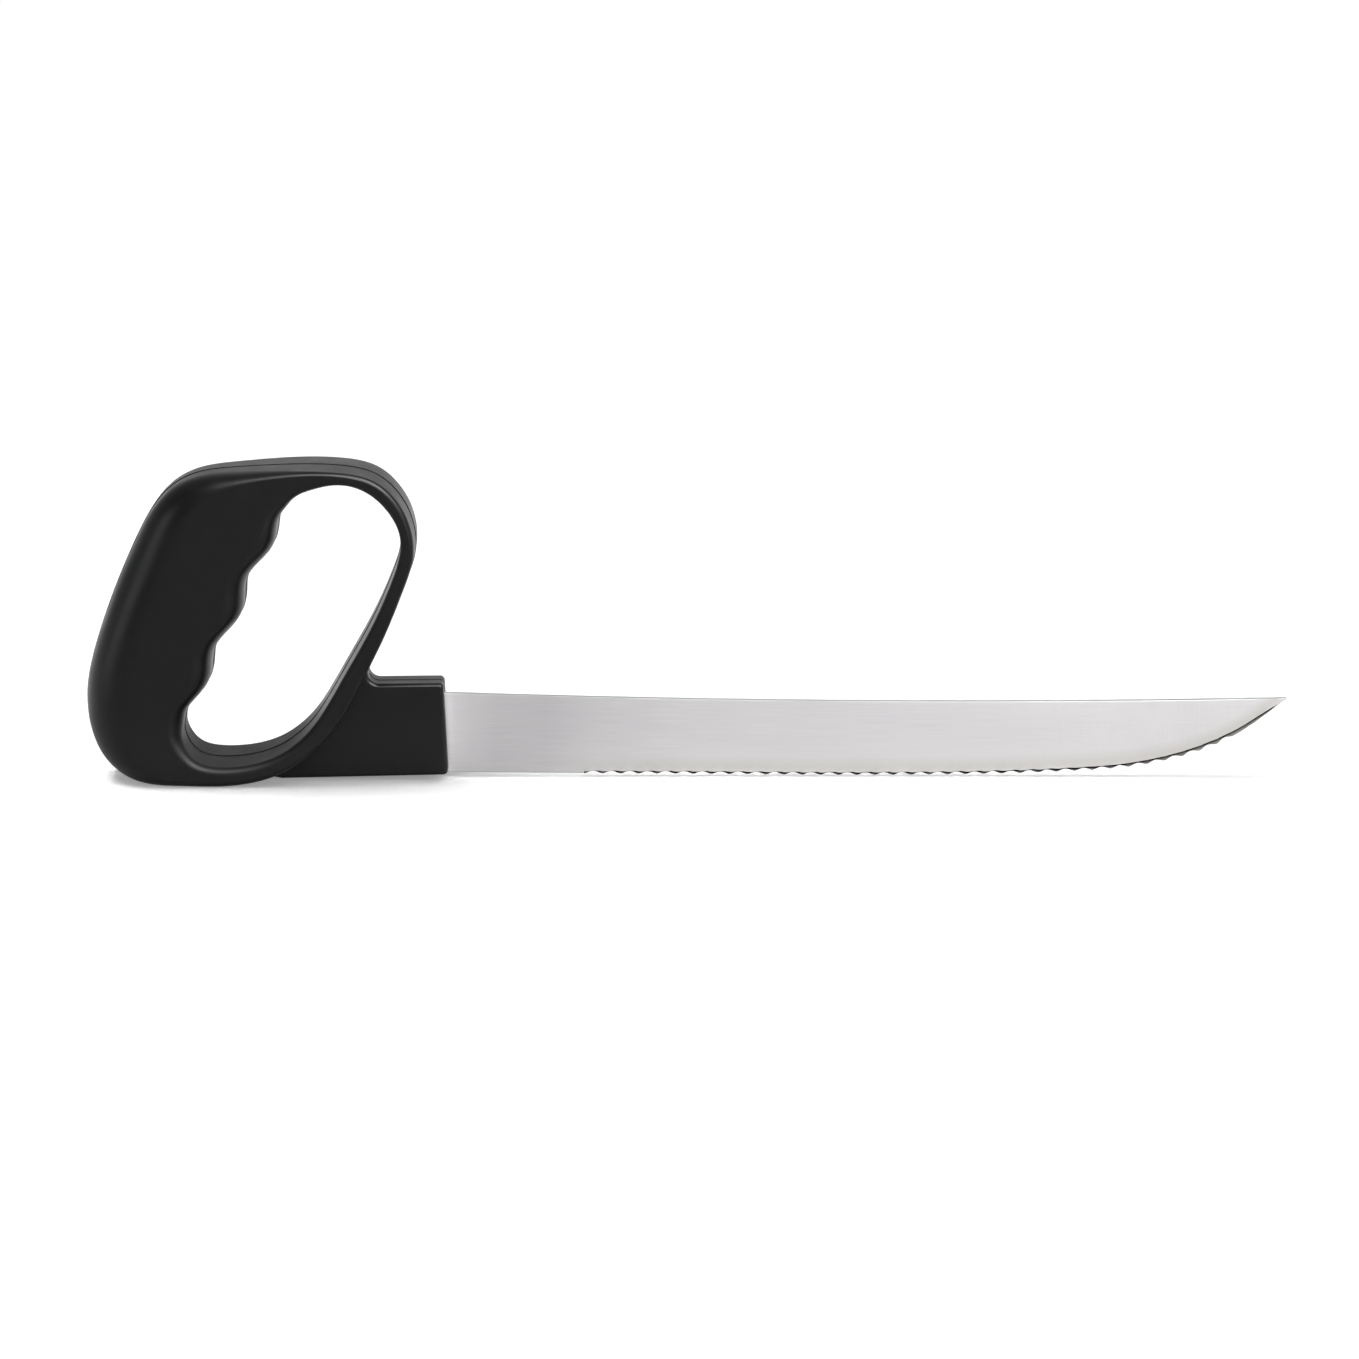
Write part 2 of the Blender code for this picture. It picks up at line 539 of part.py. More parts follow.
def make_shell(name, side, pieces, cutters, parent):
    """One moulded half of the handle, from the seam out to one side (-1 near, +1 far)."""
    def tool(label, mesh):
        return as_cutter(new_object(f"{name}_{label}", mesh, cutters, parent))

    def slab(label, y_from, y_to, z_low, z_high):
        y_low, y_high = sorted((side * y_from, side * y_to))
        return tool(label, box_mesh(f"{name}_{label}", (low[0], y_low, z_low),
                                    (high[0], y_high, z_high)))

    def rod(label, radius, place, y_from, y_to):
        y_low, y_high = sorted((side * y_from, side * y_to))
        return tool(label, rod_mesh(f"{name}_{label}", radius, place[0], place[1],
                                    y_low, y_high))

    stations = np.arange(len(LOOP_STATIONS) * LOOP_STEPS) / LOOP_STEPS
    rings = half_rings(*loop_sections(stations), side, LOOP_PAST_SEAM)
    shell = new_object(name, loft(name, rings, closed=True), pieces, parent)
    low = rings.min(axis=(0, 1)) - REACH
    high = rings.max(axis=(0, 1)) + REACH
    high[0] = max(high[0], BLOCK_FRONT_X + REACH)

    y_low, y_high = sorted((-side * BLOCK_PAST_SEAM, side * BLOCK_HALF))
    block = tool("block", plate_mesh(f"{name}_block", block_outline(), y_low, y_high))
    edges = block.modifiers.new("edges", "BEVEL")
    edges.width = BLOCK_EDGE
    edges.segments = BLOCK_EDGE_STEPS
    edges.limit_method = "ANGLE"
    edges.angle_limit = BLOCK_EDGE_ANGLE
    boolean(shell, block, "UNION")

    ribs = cavity_stations()[1:-1]
    bosses = [rod(f"boss_{number}", BOSS_RADIUS, place, -BOSS_PAST_SEAM, GRIP_HALF)
              for number, place in enumerate(loop_middle(ribs), 1)]
    for number, (start, stop) in enumerate(cavity_spans()):
        places = np.linspace(start, stop, 2 + round((stop - start) * LOOP_STEPS))
        inside = half_rings(*loop_sections(places), side, HOLLOW_PAST_SEAM, inset=WALL)
        hollow = tool(f"hollow_{number}", loft(f"{name}_hollow_{number}", inside, closed=False))
        for boss in bosses[max(0, number - 1):number + 1]:
            boolean(hollow, boss, "DIFFERENCE")
        boolean(shell, hollow, "DIFFERENCE")

    boolean(shell, slab("seam", -BLOCK_PAST_SEAM - REACH, GAP / 2.0, low[2], high[2]),
            "DIFFERENCE")
    boolean(shell, slab("foot", -BOSS_PAST_SEAM, GRIP_HALF + REACH, low[2], FOOT_Z),
            "DIFFERENCE")

    slot_half = BLADE_THICK / 2.0 + GAP
    slot = tool("slot", plate_mesh(f"{name}_slot", slot_outline(), -slot_half, slot_half))
    boolean(shell, slot, "DIFFERENCE")
    for label, place in pin_places().items():
        boolean(shell, rod(label, PIN_RADIUS + GAP, place, -REACH, pin_half() + GAP),
                "DIFFERENCE")

    for number, place in enumerate(loop_middle([*LOCATOR_STATIONS, *ribs]), 1):
        if side < 0:
            pin = rod(f"locator_{number}", LOCATOR_RADIUS, place, -LOCATOR_LENGTH, REACH)
            boolean(shell, pin, "UNION")
        else:
            socket = rod(f"socket_{number}", LOCATOR_RADIUS + GAP, place, -REACH,
                         LOCATOR_LENGTH + GAP)
            boolean(shell, socket, "DIFFERENCE")
    return shell


def make_blade(pieces, cutters, parent):
    blade = new_object("blade", loft("blade", blade_rings(), closed=False), pieces, parent)
    for label, (x, z) in pin_places().items():
        mesh = rod_mesh(f"{label}_hole", PIN_RADIUS + GAP, x, z, -REACH, REACH)
        hole = as_cutter(new_object(f"{label}_hole", mesh, cutters, parent))
        boolean(blade, hole, "DIFFERENCE")
    return blade


def make_pins(pieces, parent):
    pins = []
    for label, (x, z) in pin_places().items():
        mesh = rod_mesh(label, PIN_RADIUS, 0.0, 0.0, -pin_half(), pin_half())
        mesh.shade_smooth()
        mesh.set_sharp_from_angle(angle=SMOOTH_ANGLE)
        pin = new_object(label, mesh, pieces, parent)
        pin.location = (x, 0.0, z)
        pins.append(pin)
    return pins


def make_material(name, colour, metallic, roughness):
    material = bpy.data.materials.new(name)
    material.use_nodes = True
    shader = material.node_tree.nodes["Principled BSDF"]
    shader.inputs["Base Color"].default_value = (*colour, 1.0)
    shader.inputs["Metallic"].default_value = metallic
    shader.inputs["Roughness"].default_value = roughness
    return material


def stand_on_origin(pieces, parent):
    """Move the knife so that the origin is the middle of its foot."""
    bpy.context.view_layer.update()
    graph = bpy.context.evaluated_depsgraph_get()
    corners = []
    for piece in pieces.objects:
        shape = piece.evaluated_get(graph)
        corners += [shape.matrix_world @ Vector(corner) for corner in shape.bound_box]
    corners = np.array(corners)
    low, high = corners.min(axis=0), corners.max(axis=0)
    parent.location = (-(low[0] + high[0]) / 2.0, -(low[1] + high[1]) / 2.0, -low[2])
    bpy.context.view_layer.update()


def main():
    for thing in list(bpy.data.objects):
        bpy.data.objects.remove(thing)
    pieces = bpy.data.collections.new("angled_bread_knife")
    cutters = bpy.data.collections.new("cutters")
    for collection in (pieces, cutters):
        bpy.context.scene.collection.children.link(collection)
    knife = bpy.data.objects.new("knife", None)
    bpy.context.scene.collection.objects.link(knife)

    steel = make_material("brushed_stainless_steel", (0.60, 0.59, 0.58), 1.0, 0.32)
    bright = make_material("ground_steel_pin", (0.55, 0.55, 0.56), 1.0, 0.25)
    plastic = make_material("moulded_black_plastic", (0.012, 0.012, 0.013), 0.0, 0.48)

    make_blade(pieces, cutters, knife).data.materials.append(steel)
    for pin in make_pins(pieces, knife):
        pin.data.materials.append(bright)
    make_shell("handle_shell_near", -1, pieces, cutters, knife).data.materials.append(plastic)
    make_shell("handle_shell_far", 1, pieces, cutters, knife).data.materials.append(plastic)
    stand_on_origin(pieces, knife)


main()
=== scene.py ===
# %% [markdown]
# # Angled bread knife
# The real object is a bread knife for a hand that can't bend at the wrist. A long strip of
# scalloped steel leaves the foot of an upright, closed handle, so that the knife is held like
# a saw. The handle is moulded from black plastic in two halves, which are welded together
# along their middle and trap the blade's tang between them.
#
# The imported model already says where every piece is. It is loaded first, and everything below
# is built round it in the same place.

# %% Load the frame
import math

import bpy
import numpy as np
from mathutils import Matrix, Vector


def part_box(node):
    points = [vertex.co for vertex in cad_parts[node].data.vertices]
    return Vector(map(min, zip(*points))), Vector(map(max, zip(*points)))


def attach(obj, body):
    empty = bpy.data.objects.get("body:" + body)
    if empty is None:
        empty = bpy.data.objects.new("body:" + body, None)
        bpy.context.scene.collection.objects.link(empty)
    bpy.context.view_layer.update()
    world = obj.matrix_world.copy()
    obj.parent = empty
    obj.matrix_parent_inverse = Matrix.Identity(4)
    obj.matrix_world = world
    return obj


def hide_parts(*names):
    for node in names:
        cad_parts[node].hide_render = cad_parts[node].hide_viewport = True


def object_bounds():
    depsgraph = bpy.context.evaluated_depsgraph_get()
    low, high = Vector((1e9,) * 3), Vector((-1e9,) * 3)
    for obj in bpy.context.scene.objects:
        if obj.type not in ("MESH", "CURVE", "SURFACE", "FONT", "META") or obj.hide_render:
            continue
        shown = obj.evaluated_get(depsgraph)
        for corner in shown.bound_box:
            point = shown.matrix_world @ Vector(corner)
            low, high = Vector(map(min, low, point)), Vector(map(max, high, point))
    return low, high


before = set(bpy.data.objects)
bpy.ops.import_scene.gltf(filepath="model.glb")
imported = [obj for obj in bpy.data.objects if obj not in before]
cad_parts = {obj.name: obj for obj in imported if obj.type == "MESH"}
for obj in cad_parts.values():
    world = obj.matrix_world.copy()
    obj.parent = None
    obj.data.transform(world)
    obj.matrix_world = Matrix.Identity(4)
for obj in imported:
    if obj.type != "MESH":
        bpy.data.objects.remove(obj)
cad_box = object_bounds()
print("CAD nodes:", ", ".join(sorted(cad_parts)))
print("CAD box in mm:", [[round(v * 1000, 2) for v in corner] for corner in cad_box])

# %% [markdown]
# ## The camera
# A picture taken with a long lens from almost two metres away looks flat and calm, as in a
# shop's catalogue. The camera looks along +Y and 14 degrees down. That is what shows the top
# of the handle as a thin grey band, and the floor of the hand opening below it.

# %% Camera
CAMERA_PLACE = (-0.0022, -1.796946, 0.481056)     # metres
CAMERA_DOWN = math.radians(14.1)
CAMERA_LENS = 164.24                              # mm, on a sensor 36 mm wide

camera_data = bpy.data.cameras.new("catalogue_camera")
camera_data.lens = CAMERA_LENS
camera_data.sensor_width = 36.0
camera_data.clip_end = 100.0
camera = bpy.data.objects.new("catalogue_camera", camera_data)
camera.location = CAMERA_PLACE
camera.rotation_euler = (math.pi / 2.0 - CAMERA_DOWN, 0.0, 0.0)
bpy.context.scene.collection.objects.link(camera)
bpy.context.scene.camera = camera
print("camera stands", round(-CAMERA_PLACE[1], 3), "m in front of the knife")

# %% [markdown]
# ## Surfaces from arrays
# A moulded handle and a ground blade are both a section carried along a line. So each piece is
# a grid of points: one axis runs along the piece and the other runs round its section. Numpy
# works out the whole grid at once, and one function turns a grid into a mesh. All lengths are
# in millimetres until that function writes them in metres.

# %% Grid to mesh
MM = 0.001
BLADE_TIP_X = 179.4
SHIFT_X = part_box("blade")[1].x / MM - BLADE_TIP_X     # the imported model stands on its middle
BOX_LOW, BOX_HIGH = np.array(cad_box[0]), np.array(cad_box[1])


def surface(name, points, ring=False, inside_box=False):
    """A mesh over a grid of points, of the shape (sections, points of a section, 3), in mm.

    Face (i, k) joins points (i, k), (i + 1, k), (i + 1, k + 1) and (i, k + 1). A section
    always closes on itself. A ring closes along its sections too, and any other surface is
    filled at its first and last section. A negative volume means that the faces point
    inwards, and they are turned. Points are kept in the CAD model's box: finer curves than
    its own pass it by a few hundredths of a millimetre.
    """
    sections, around = points.shape[:2]
    i = np.arange(sections if ring else sections - 1)[:, None]
    k = np.arange(around)[None, :]
    i_next, k_next = (i + 1) % sections, (k + 1) % around
    faces = np.stack([i * around + k, i_next * around + k,
                      i_next * around + k_next, i * around + k_next], axis=-1)
    faces = faces.reshape(-1, 4).tolist()
    if not ring:
        faces.append(list(range(around)))
        faces.append(list(range(sections * around - 1, (sections - 1) * around - 1, -1)))
    flat = points.reshape(-1, 3)
    mesh = bpy.data.meshes.new(name)
    place = (flat + np.array([SHIFT_X, 0.0, 0.0])) * MM
    if inside_box:
        place = np.clip(place, BOX_LOW, BOX_HIGH)
    mesh.from_pydata(place, [], faces)
    quads = flat[np.array(faces[:(len(i) * around)])]
    a, b, c, d = quads[:, 0], quads[:, 1], quads[:, 2], quads[:, 3]
    volume = np.sum(a * (np.cross(b, c) + np.cross(c, d)))
    if not ring:
        for cap in faces[-2:]:
            rim = flat[np.array(cap)]
            volume += np.sum(rim[0] * np.cross(rim[1:-1], rim[2:]))
    if volume < 0.0:
        mesh.flip_normals()
    return mesh


def add_piece(name, mesh):
    """An object at the origin that holds a mesh."""
    piece = bpy.data.objects.new(name, mesh)
    bpy.context.scene.collection.objects.link(piece)
    return piece


print("pieces are moved", round(SHIFT_X, 3), "mm along X to meet the packed model")

# %% [markdown]
# ## Smooth curves
# A designer draws the handle with a spline through a few points. The same curve comes from a
# small set of equations: each stretch is a cubic, and the slopes at the points are chosen so
# that the curvature runs on from one stretch to the next. That matters on a dark, satin
# surface, where the eye reads every kink in a highlight.

# %% Spline and easing
def spline(rows, where, closed):
    """Rows read at any position between them, on a curve with running-on curvature.

    With slopes s and rows r, every row satisfies s[i-1] + 4 s[i] + s[i+1] = 3 (r[i+1] -
    r[i-1]). An open curve has no curvature at its ends: 2 s[0] + s[1] = 3 (r[1] - r[0]).
    """
    rows = np.asarray(rows, dtype=float)
    where = np.asarray(where, dtype=float)
    count = len(rows)
    eye = np.eye(count)
    system = 4.0 * eye + np.roll(eye, 1, axis=1) + np.roll(eye, -1, axis=1)
    change = 3.0 * (np.roll(rows, -1, axis=0) - np.roll(rows, 1, axis=0))
    first = np.floor(where).astype(int)
    if not closed:
        system[0, 0] = system[-1, -1] = 2.0
        system[0, -1] = system[-1, 0] = 0.0
        change[0] = 3.0 * (rows[1] - rows[0])
        change[-1] = 3.0 * (rows[-1] - rows[-2])
        first = np.clip(first, 0, count - 2)
    slopes = np.linalg.solve(system, change)
    t = (where - first)[:, None]
    a, b = first % count, (first + 1) % count
    return (rows[a] * (2 * t ** 3 - 3 * t ** 2 + 1) + slopes[a] * (t ** 3 - 2 * t ** 2 + t)
            + rows[b] * (3 * t ** 2 - 2 * t ** 3) + slopes[b] * (t ** 3 - t ** 2))


def ease(low, high, value):
    """0 below low, 1 above high and 3 t^2 - 2 t^3 between, with t the share of the way."""
    t = np.clip((value - low) / (high - low), 0.0, 1.0)
    return t * t * (3.0 - 2.0 * t)


# %% [markdown]
# ## The loop of the handle
# The loop is thick and round at the grip, and thin and flat at the front, where it only has to
# hold the blade's block. Twenty-four stations round the loop give its inner and outer point,
# its thickness, and how large its rounded edges are. The four finger grooves are a cosine on
# the inner side of the grip, which dies away at both ends: that is how the tool that cuts such
# a mould moves.

# %% Loop stations
GRIP_HALF = 15.0
# inner x, z; outer x, z; how much thinner than the grip; the inner edge's size in the loop's
# plane and across it; the outer edge's size in the loop's plane and across it
LOOP_STATIONS = (
    (-120.7, 78.4, -146.0, 92.9, 0.6, 4.0, 7.0, 8.0, 9.5),
    (-116.7, 86.0, -134.0, 94.8, 1.6, 2.8, 4.0, 5.5, 7.5),
    (-110.3, 89.8, -119.5, 95.6, 2.3, 1.6, 2.0, 3.0, 3.6),
    (-102.2, 91.1, -105.5, 95.6, 2.7, 1.4, 1.6, 1.8, 2.0),
    (-94.7, 88.8, -92.9, 93.3, 2.7, 1.4, 1.6, 1.8, 2.0),
    (-89.2, 84.0, -84.9, 86.4, 2.7, 1.4, 1.5, 1.8, 2.0),
    (-85.5, 77.5, -81.1, 78.3, 2.6, 1.3, 1.4, 1.6, 1.8),
    (-85.3, 70.0, -80.4, 69.6, 2.5, 1.2, 1.3, 1.4, 1.6),
    (-88.4, 60.5, -83.3, 60.0, 2.5, 1.2, 1.3, 1.4, 1.5),
    (-93.9, 48.3, -88.5, 47.0, 2.5, 1.2, 1.3, 1.4, 1.5),
    (-100.7, 36.0, -94.1, 35.3, 2.5, 1.2, 1.3, 1.4, 1.5),
    (-107.5, 24.1, -99.9, 23.7, 2.4, 1.3, 1.4, 1.4, 1.5),
    (-113.0, 16.5, -106.3, 14.8, 2.1, 1.5, 1.6, 1.4, 1.5),
    (-120.0, 10.7, -115.4, 6.6, 1.4, 1.8, 2.0, 1.6, 1.6),
    (-128.2, 7.4, -125.8, 1.6, 0.6, 2.0, 2.4, 1.8, 2.0),
    (-137.0, 6.3, -138.0, -0.3, 0.0, 2.2, 2.6, 2.2, 2.4),
    (-144.6, 7.4, -151.0, -0.3, 0.0, 2.4, 3.0, 3.0, 3.4),
    (-148.8, 11.5, -164.7, 0.8, 0.0, 3.0, 4.0, 7.0, 7.0),
    (-149.8, 17.5, -175.3, 8.7, 0.0, 4.5, 6.5, 12.0, 12.0),
    (-146.4, 24.9, -179.2, 23.2, 0.0, 5.8, 9.0, 14.0, 14.0),
    (-141.3, 35.4, -176.9, 38.4, 0.0, 5.8, 9.0, 14.0, 14.0),
    (-134.3, 49.8, -171.6, 54.4, 0.0, 5.8, 9.0, 14.0, 14.0),
    (-127.9, 63.8, -165.1, 70.0, 0.0, 5.8, 9.0, 14.0, 14.0),
    (-123.2, 73.4, -156.5, 85.4, 0.0, 5.4, 8.5, 11.0, 11.5),
)
GROOVE_PITCH = 23.2
GROOVE_HEIGHT = 1.4
GROOVE_CREST = (-123.1, 72.5)
GROOVE_FADE_TOP = (2.0, 16.0)
GROOVE_FADE_FOOT = (-62.0, -52.0)
GROOVE_FADE_WIDTH = (14.0, 24.0)
GRIP_LEAN = math.radians(26.6)


def loop_sections(where):
    """The loop's inner points, outer points and edge sizes at the given stations.

    The inner point moves towards the hand by height times cos(2 pi along / pitch), with
    along measured up the leaning grip from the uppermost crest.
    """
    rows = spline(LOOP_STATIONS, where, closed=True)
    inner, outer, sizes = rows[:, 0:2], rows[:, 2:4], rows[:, 4:9].copy()
    sizes[:, 0] = GRIP_HALF - sizes[:, 0]
    width = np.linalg.norm(inner - outer, axis=1)
    up_grip = np.array([math.sin(GRIP_LEAN), math.cos(GRIP_LEAN)])
    along = (inner - np.array(GROOVE_CREST)) @ up_grip
    amount = (ease(*GROOVE_FADE_WIDTH, width) * ease(*GROOVE_FADE_FOOT, along)
              * (1.0 - ease(*GROOVE_FADE_TOP, along)))
    groove = amount * GROOVE_HEIGHT * np.cos(2.0 * math.pi * along / GROOVE_PITCH)
    inner = inner + ((inner - outer) / width[:, None]) * groove[:, None]
    return inner, outer, sizes


print("the loop has", len(LOOP_STATIONS), "stations")

# %% [markdown]
# ## Half a section, with its seam
# Where two moulded halves are welded, their edges never meet quite flush. Here the near half
# stands back by a fifth of a millimetre and falls away in a shallow round before the seam. The
# far half keeps a small, crisp round. Seen from the front that gives a dark line with a bright
# lip over it. The lip is real geometry, because it has to catch the wide lamp that draws every
# edge. The halves' seam faces stop just short of touching, so no light comes through.

# %% Section of one half
SEAM = 0.010                   # from the middle plane to each half's seam face
SEAM_ROUND = {-1: (0.30, 1.20), 1: (0.16, 0.20)}     # each half's round: depth, width
SEAM_STEP = {-1: 0.18, 1: 0.0}                       # how far a half stands back from the other
DRAFT = math.tan(math.radians(1.0))
LOOP_STEPS = 16                # sections from one station to the next
CORNER_STEPS = 14
SEAM_STEPS = 6
FLAT_STEPS = 3
FOOT_Z = 0.0


def loop_half(side):
    """The grid of one half of the loop, on the near (-1) or the far (+1) side.

    Across a section, reach runs from the inner point to the outer one and rise from the
    seam to the face. The section goes round the inner seam edge, up the inner side, round an
    ellipse (reach = a (1 - cos t), rise = half - b (1 - sin t)), across the face, and back
    down the same way. Both sides lean in by the draft, which lets a moulding leave its tool.
    Points under the foot plane are lifted onto it.
    """
    stations = np.arange(len(LOOP_STATIONS) * LOOP_STEPS) / LOOP_STEPS
    inner, outer, sizes = loop_sections(stations)
    width = np.linalg.norm(outer - inner, axis=1)[:, None]
    half, inner_in, inner_up, outer_in, outer_up = (sizes.T)[:, :, None]
    seam_in, seam_up = SEAM_ROUND[side]
    t = np.linspace(0.0, math.pi / 2.0, CORNER_STEPS + 1)[None, :]
    s = np.linspace(0.0, math.pi / 2.0, SEAM_STEPS + 1)[None, :]
    flat = np.linspace(0.0, 1.0, FLAT_STEPS + 2)[None, 1:-1]
    ones = np.ones_like(width)
    reach = np.hstack([
        seam_in * (1.0 - np.sin(s)) * ones,
        inner_in * (1.0 - np.cos(t)),
        inner_in + (width - outer_in - inner_in) * flat,
        width - outer_in * (1.0 - np.sin(t)),
        width - seam_in * (1.0 - np.cos(s)),
    ])
    rise = np.hstack([
        (SEAM + seam_up * (1.0 - np.cos(s))) * ones,
        half - inner_up * (1.0 - np.sin(t)),
        half + 0.0 * flat,
        half - outer_up * (1.0 - np.cos(t)),
        (SEAM + seam_up * (1.0 - np.sin(s))) * ones,
    ])
    reach = reach + (SEAM_STEP[side] + DRAFT * rise) * (1.0 - 2.0 * reach / width)
    across = ((outer - inner) / width)[:, None, :]
    place = inner[:, None, :] + across * reach[:, :, None]
    return np.stack([place[..., 0], side * rise, np.maximum(place[..., 1], FOOT_Z)], axis=-1)


print("a half section has", loop_half(-1).shape[1], "points")

# %% [markdown]
# ## The block round the tang
# The block is a flat slab that carries the blade. Its face sits 6.5 mm lower than the face of
# the loop, and its top runs into the loop in a hollow corner. It is an outline with its edges
# rounded over, so it is made as a stack of outlines: each one is drawn in from the first by a
# little more, and set a little further out.

# %% Outlines and slabs
def arc(centre, radius, start, end, steps):
    """Points centre + radius (cos a, sin a), with a from start to end in radians."""
    a = np.linspace(start, end, steps + 1)
    return np.array(centre) + radius * np.stack([np.cos(a), np.sin(a)], axis=1)


def rounded_corner(before, corner, after, radius, steps):
    """A corner turned to an arc that touches both of its straight sides."""
    corner = np.array(corner)
    back = (np.array(before) - corner) / np.linalg.norm(np.array(before) - corner)
    ahead = (np.array(after) - corner) / np.linalg.norm(np.array(after) - corner)
    half_angle = math.acos(float(back @ ahead)) / 2.0
    centre = corner + (back + ahead) / np.linalg.norm(back + ahead) * radius / math.sin(half_angle)
    start = corner + back * radius / math.tan(half_angle) - centre
    end = corner + ahead * radius / math.tan(half_angle) - centre
    first = math.atan2(start[1], start[0])
    turn = math.atan2(start[0] * end[1] - start[1] * end[0], float(start @ end))
    return arc(centre, radius, first, first + turn, steps)


def slab(name, outline, insets, rises):
    """A stack of outlines in the X-Z plane, as a closed mesh.

    Outline j is drawn in by insets[j] at right angles to its sides and stands at y =
    rises[j]. A point between sides with the outward normals m and n moves by -inset (m + n)
    / (1 + m.n), which keeps each side straight.
    """
    outline = np.asarray(outline, dtype=float)
    sides = np.roll(outline, -1, axis=0) - outline
    sides /= np.linalg.norm(sides, axis=1)[:, None]
    turn = np.sum(outline[:, 0] * np.roll(outline[:, 1], -1)
                  - outline[:, 1] * np.roll(outline[:, 0], -1))
    ahead = np.sign(turn) * np.stack([sides[:, 1], -sides[:, 0]], axis=1)
    behind = np.roll(ahead, 1, axis=0)
    out = (ahead + behind) / (1.0 + np.sum(ahead * behind, axis=1))[:, None]
    insets, rises = np.asarray(insets), np.asarray(rises)
    place = outline[None] - insets[:, None, None] * out[None]
    height = np.broadcast_to(rises[:, None], place.shape[:2])
    return surface(name, np.stack([place[..., 0], height, place[..., 1]], axis=-1))


# %% Block
BLOCK_FRONT_X, BLOCK_LEAN = -71.2, 1.2
BLOCK_OVER_SPINE = 3.95
BLOCK_HALF = 6.0
BLOCK_FOOT_FRONT_Z, BLOCK_FOOT_REAR = 1.45, (-121.0, 0.35)
BLOCK_EDGE_IN, BLOCK_EDGE_UP, BLOCK_CORNER, BLOCK_FILLET = 1.1, 1.8, 1.4, 3.3
BLOCK_ROOT = 0.15 + 0.76 * np.arange(7)        # stations past the hollow corner's end
LOOP_FRONT = np.linspace(7.0, 15.0, 801)       # stations down the front of the loop
BLOCK_SEAM_SHARE = 0.6         # its seam is finer than the loop's
BLOCK_SEAM = 0.014             # a little more than the loop's, so that no faces coincide
BLOCK_STEPS = 12
SPINE_LOW_X, SPINE_LOW_Z, SPINE_SAG = BLADE_TIP_X - 95.4, 23.1, 2.6


def spine_height(x):
    """The blade's back: low + sag ((x - x_low) / (x_low - x_block))^2, a shallow parabola."""
    return SPINE_LOW_Z + SPINE_SAG * ((x - SPINE_LOW_X) / (SPINE_LOW_X - BLOCK_FRONT_X)) ** 2


BLOCK_TOP = spine_height(BLOCK_FRONT_X) + BLOCK_OVER_SPINE


def block_outline():
    """Foot, leaning front, top, and the hollow corner; then a hidden root down the loop."""
    heights = loop_sections(LOOP_FRONT)[1][:, 1]
    centre_z = BLOCK_TOP + BLOCK_FILLET
    end = float(np.interp(-centre_z, -heights, LOOP_FRONT))
    _, outer, _ = loop_sections(end + np.array([-0.1, 0.0, 0.1]))
    up_loop = (outer[0] - outer[2]) / np.linalg.norm(outer[0] - outer[2])
    outwards = np.array([up_loop[1], -up_loop[0]])
    touch = (BLOCK_FILLET + outwards[1] * (outer[1][1] - centre_z)) / outwards[0]
    centre = (outer[1][0] + touch, centre_z)
    front_top = (BLOCK_FRONT_X - BLOCK_LEAN, BLOCK_TOP)
    front_foot = (BLOCK_FRONT_X - BLOCK_LEAN * BLOCK_FOOT_FRONT_Z / BLOCK_TOP, BLOCK_FOOT_FRONT_Z)
    loop_angle = math.atan2(-outwards[1], -outwards[0]) % (2.0 * math.pi)
    inner, outer, _ = loop_sections(end + BLOCK_ROOT)
    return np.vstack([
        rounded_corner(BLOCK_FOOT_REAR, front_foot, front_top, BLOCK_CORNER, BLOCK_STEPS),
        rounded_corner(front_foot, front_top, centre, BLOCK_CORNER, BLOCK_STEPS),
        arc(centre, BLOCK_FILLET, 1.5 * math.pi, loop_angle, BLOCK_STEPS),
        (inner + outer) / 2.0,
        [BLOCK_FOOT_REAR],
    ])


def block_half(name, side):
    """One half of the block: small round at the seam, straight side, large round, face."""
    s = np.linspace(0.0, math.pi / 2.0, SEAM_STEPS + 1)
    t = np.linspace(0.0, math.pi / 2.0, BLOCK_STEPS + 1)
    seam_in, seam_up = np.array(SEAM_ROUND[side]) * BLOCK_SEAM_SHARE
    insets = np.concatenate([seam_in * (1.0 - np.sin(s)), BLOCK_EDGE_IN * (1.0 - np.cos(t))])
    insets = insets + BLOCK_SEAM_SHARE * SEAM_STEP[side]
    rises = np.concatenate([BLOCK_SEAM + seam_up * (1.0 - np.cos(s)),
                            BLOCK_HALF - BLOCK_EDGE_UP * (1.0 - np.sin(t))])
    return slab(name, block_outline(), insets, side * rises)


print("block top at", round(BLOCK_TOP, 2), "mm")

# %% [markdown]
# ## Joining and cutting
# The loop and the block are one moulding, so the two solids are joined by a Boolean and not
# just pushed into each other. The same tool cuts the slot for the tang and the holes for the
# two pins. Its Manifold solver suits them, because every mesh here is closed. Afterwards the
# result is stored in the mesh and the helpers are deleted. Weighted normals let the large flat
# faces decide the shading, so that they stay flat up to their edge.

# %% Boolean helpers
SHARP_ANGLE = math.radians(38.0)


def work(piece, jobs):
    """Joins or cuts a piece with helper meshes, one after the other, and stores the result."""
    helpers = []
    for operation, mesh in jobs:
        helper = add_piece("helper", mesh)
        change = piece.modifiers.new(operation, "BOOLEAN")
        change.object, change.operation, change.solver = helper, operation, "MANIFOLD"
        helpers.append(helper)
    graph = bpy.context.evaluated_depsgraph_get()
    result = bpy.data.meshes.new_from_object(piece.evaluated_get(graph))
    piece.modifiers.clear()
    piece.data = result
    for helper in helpers:
        bpy.data.objects.remove(helper)
    return piece


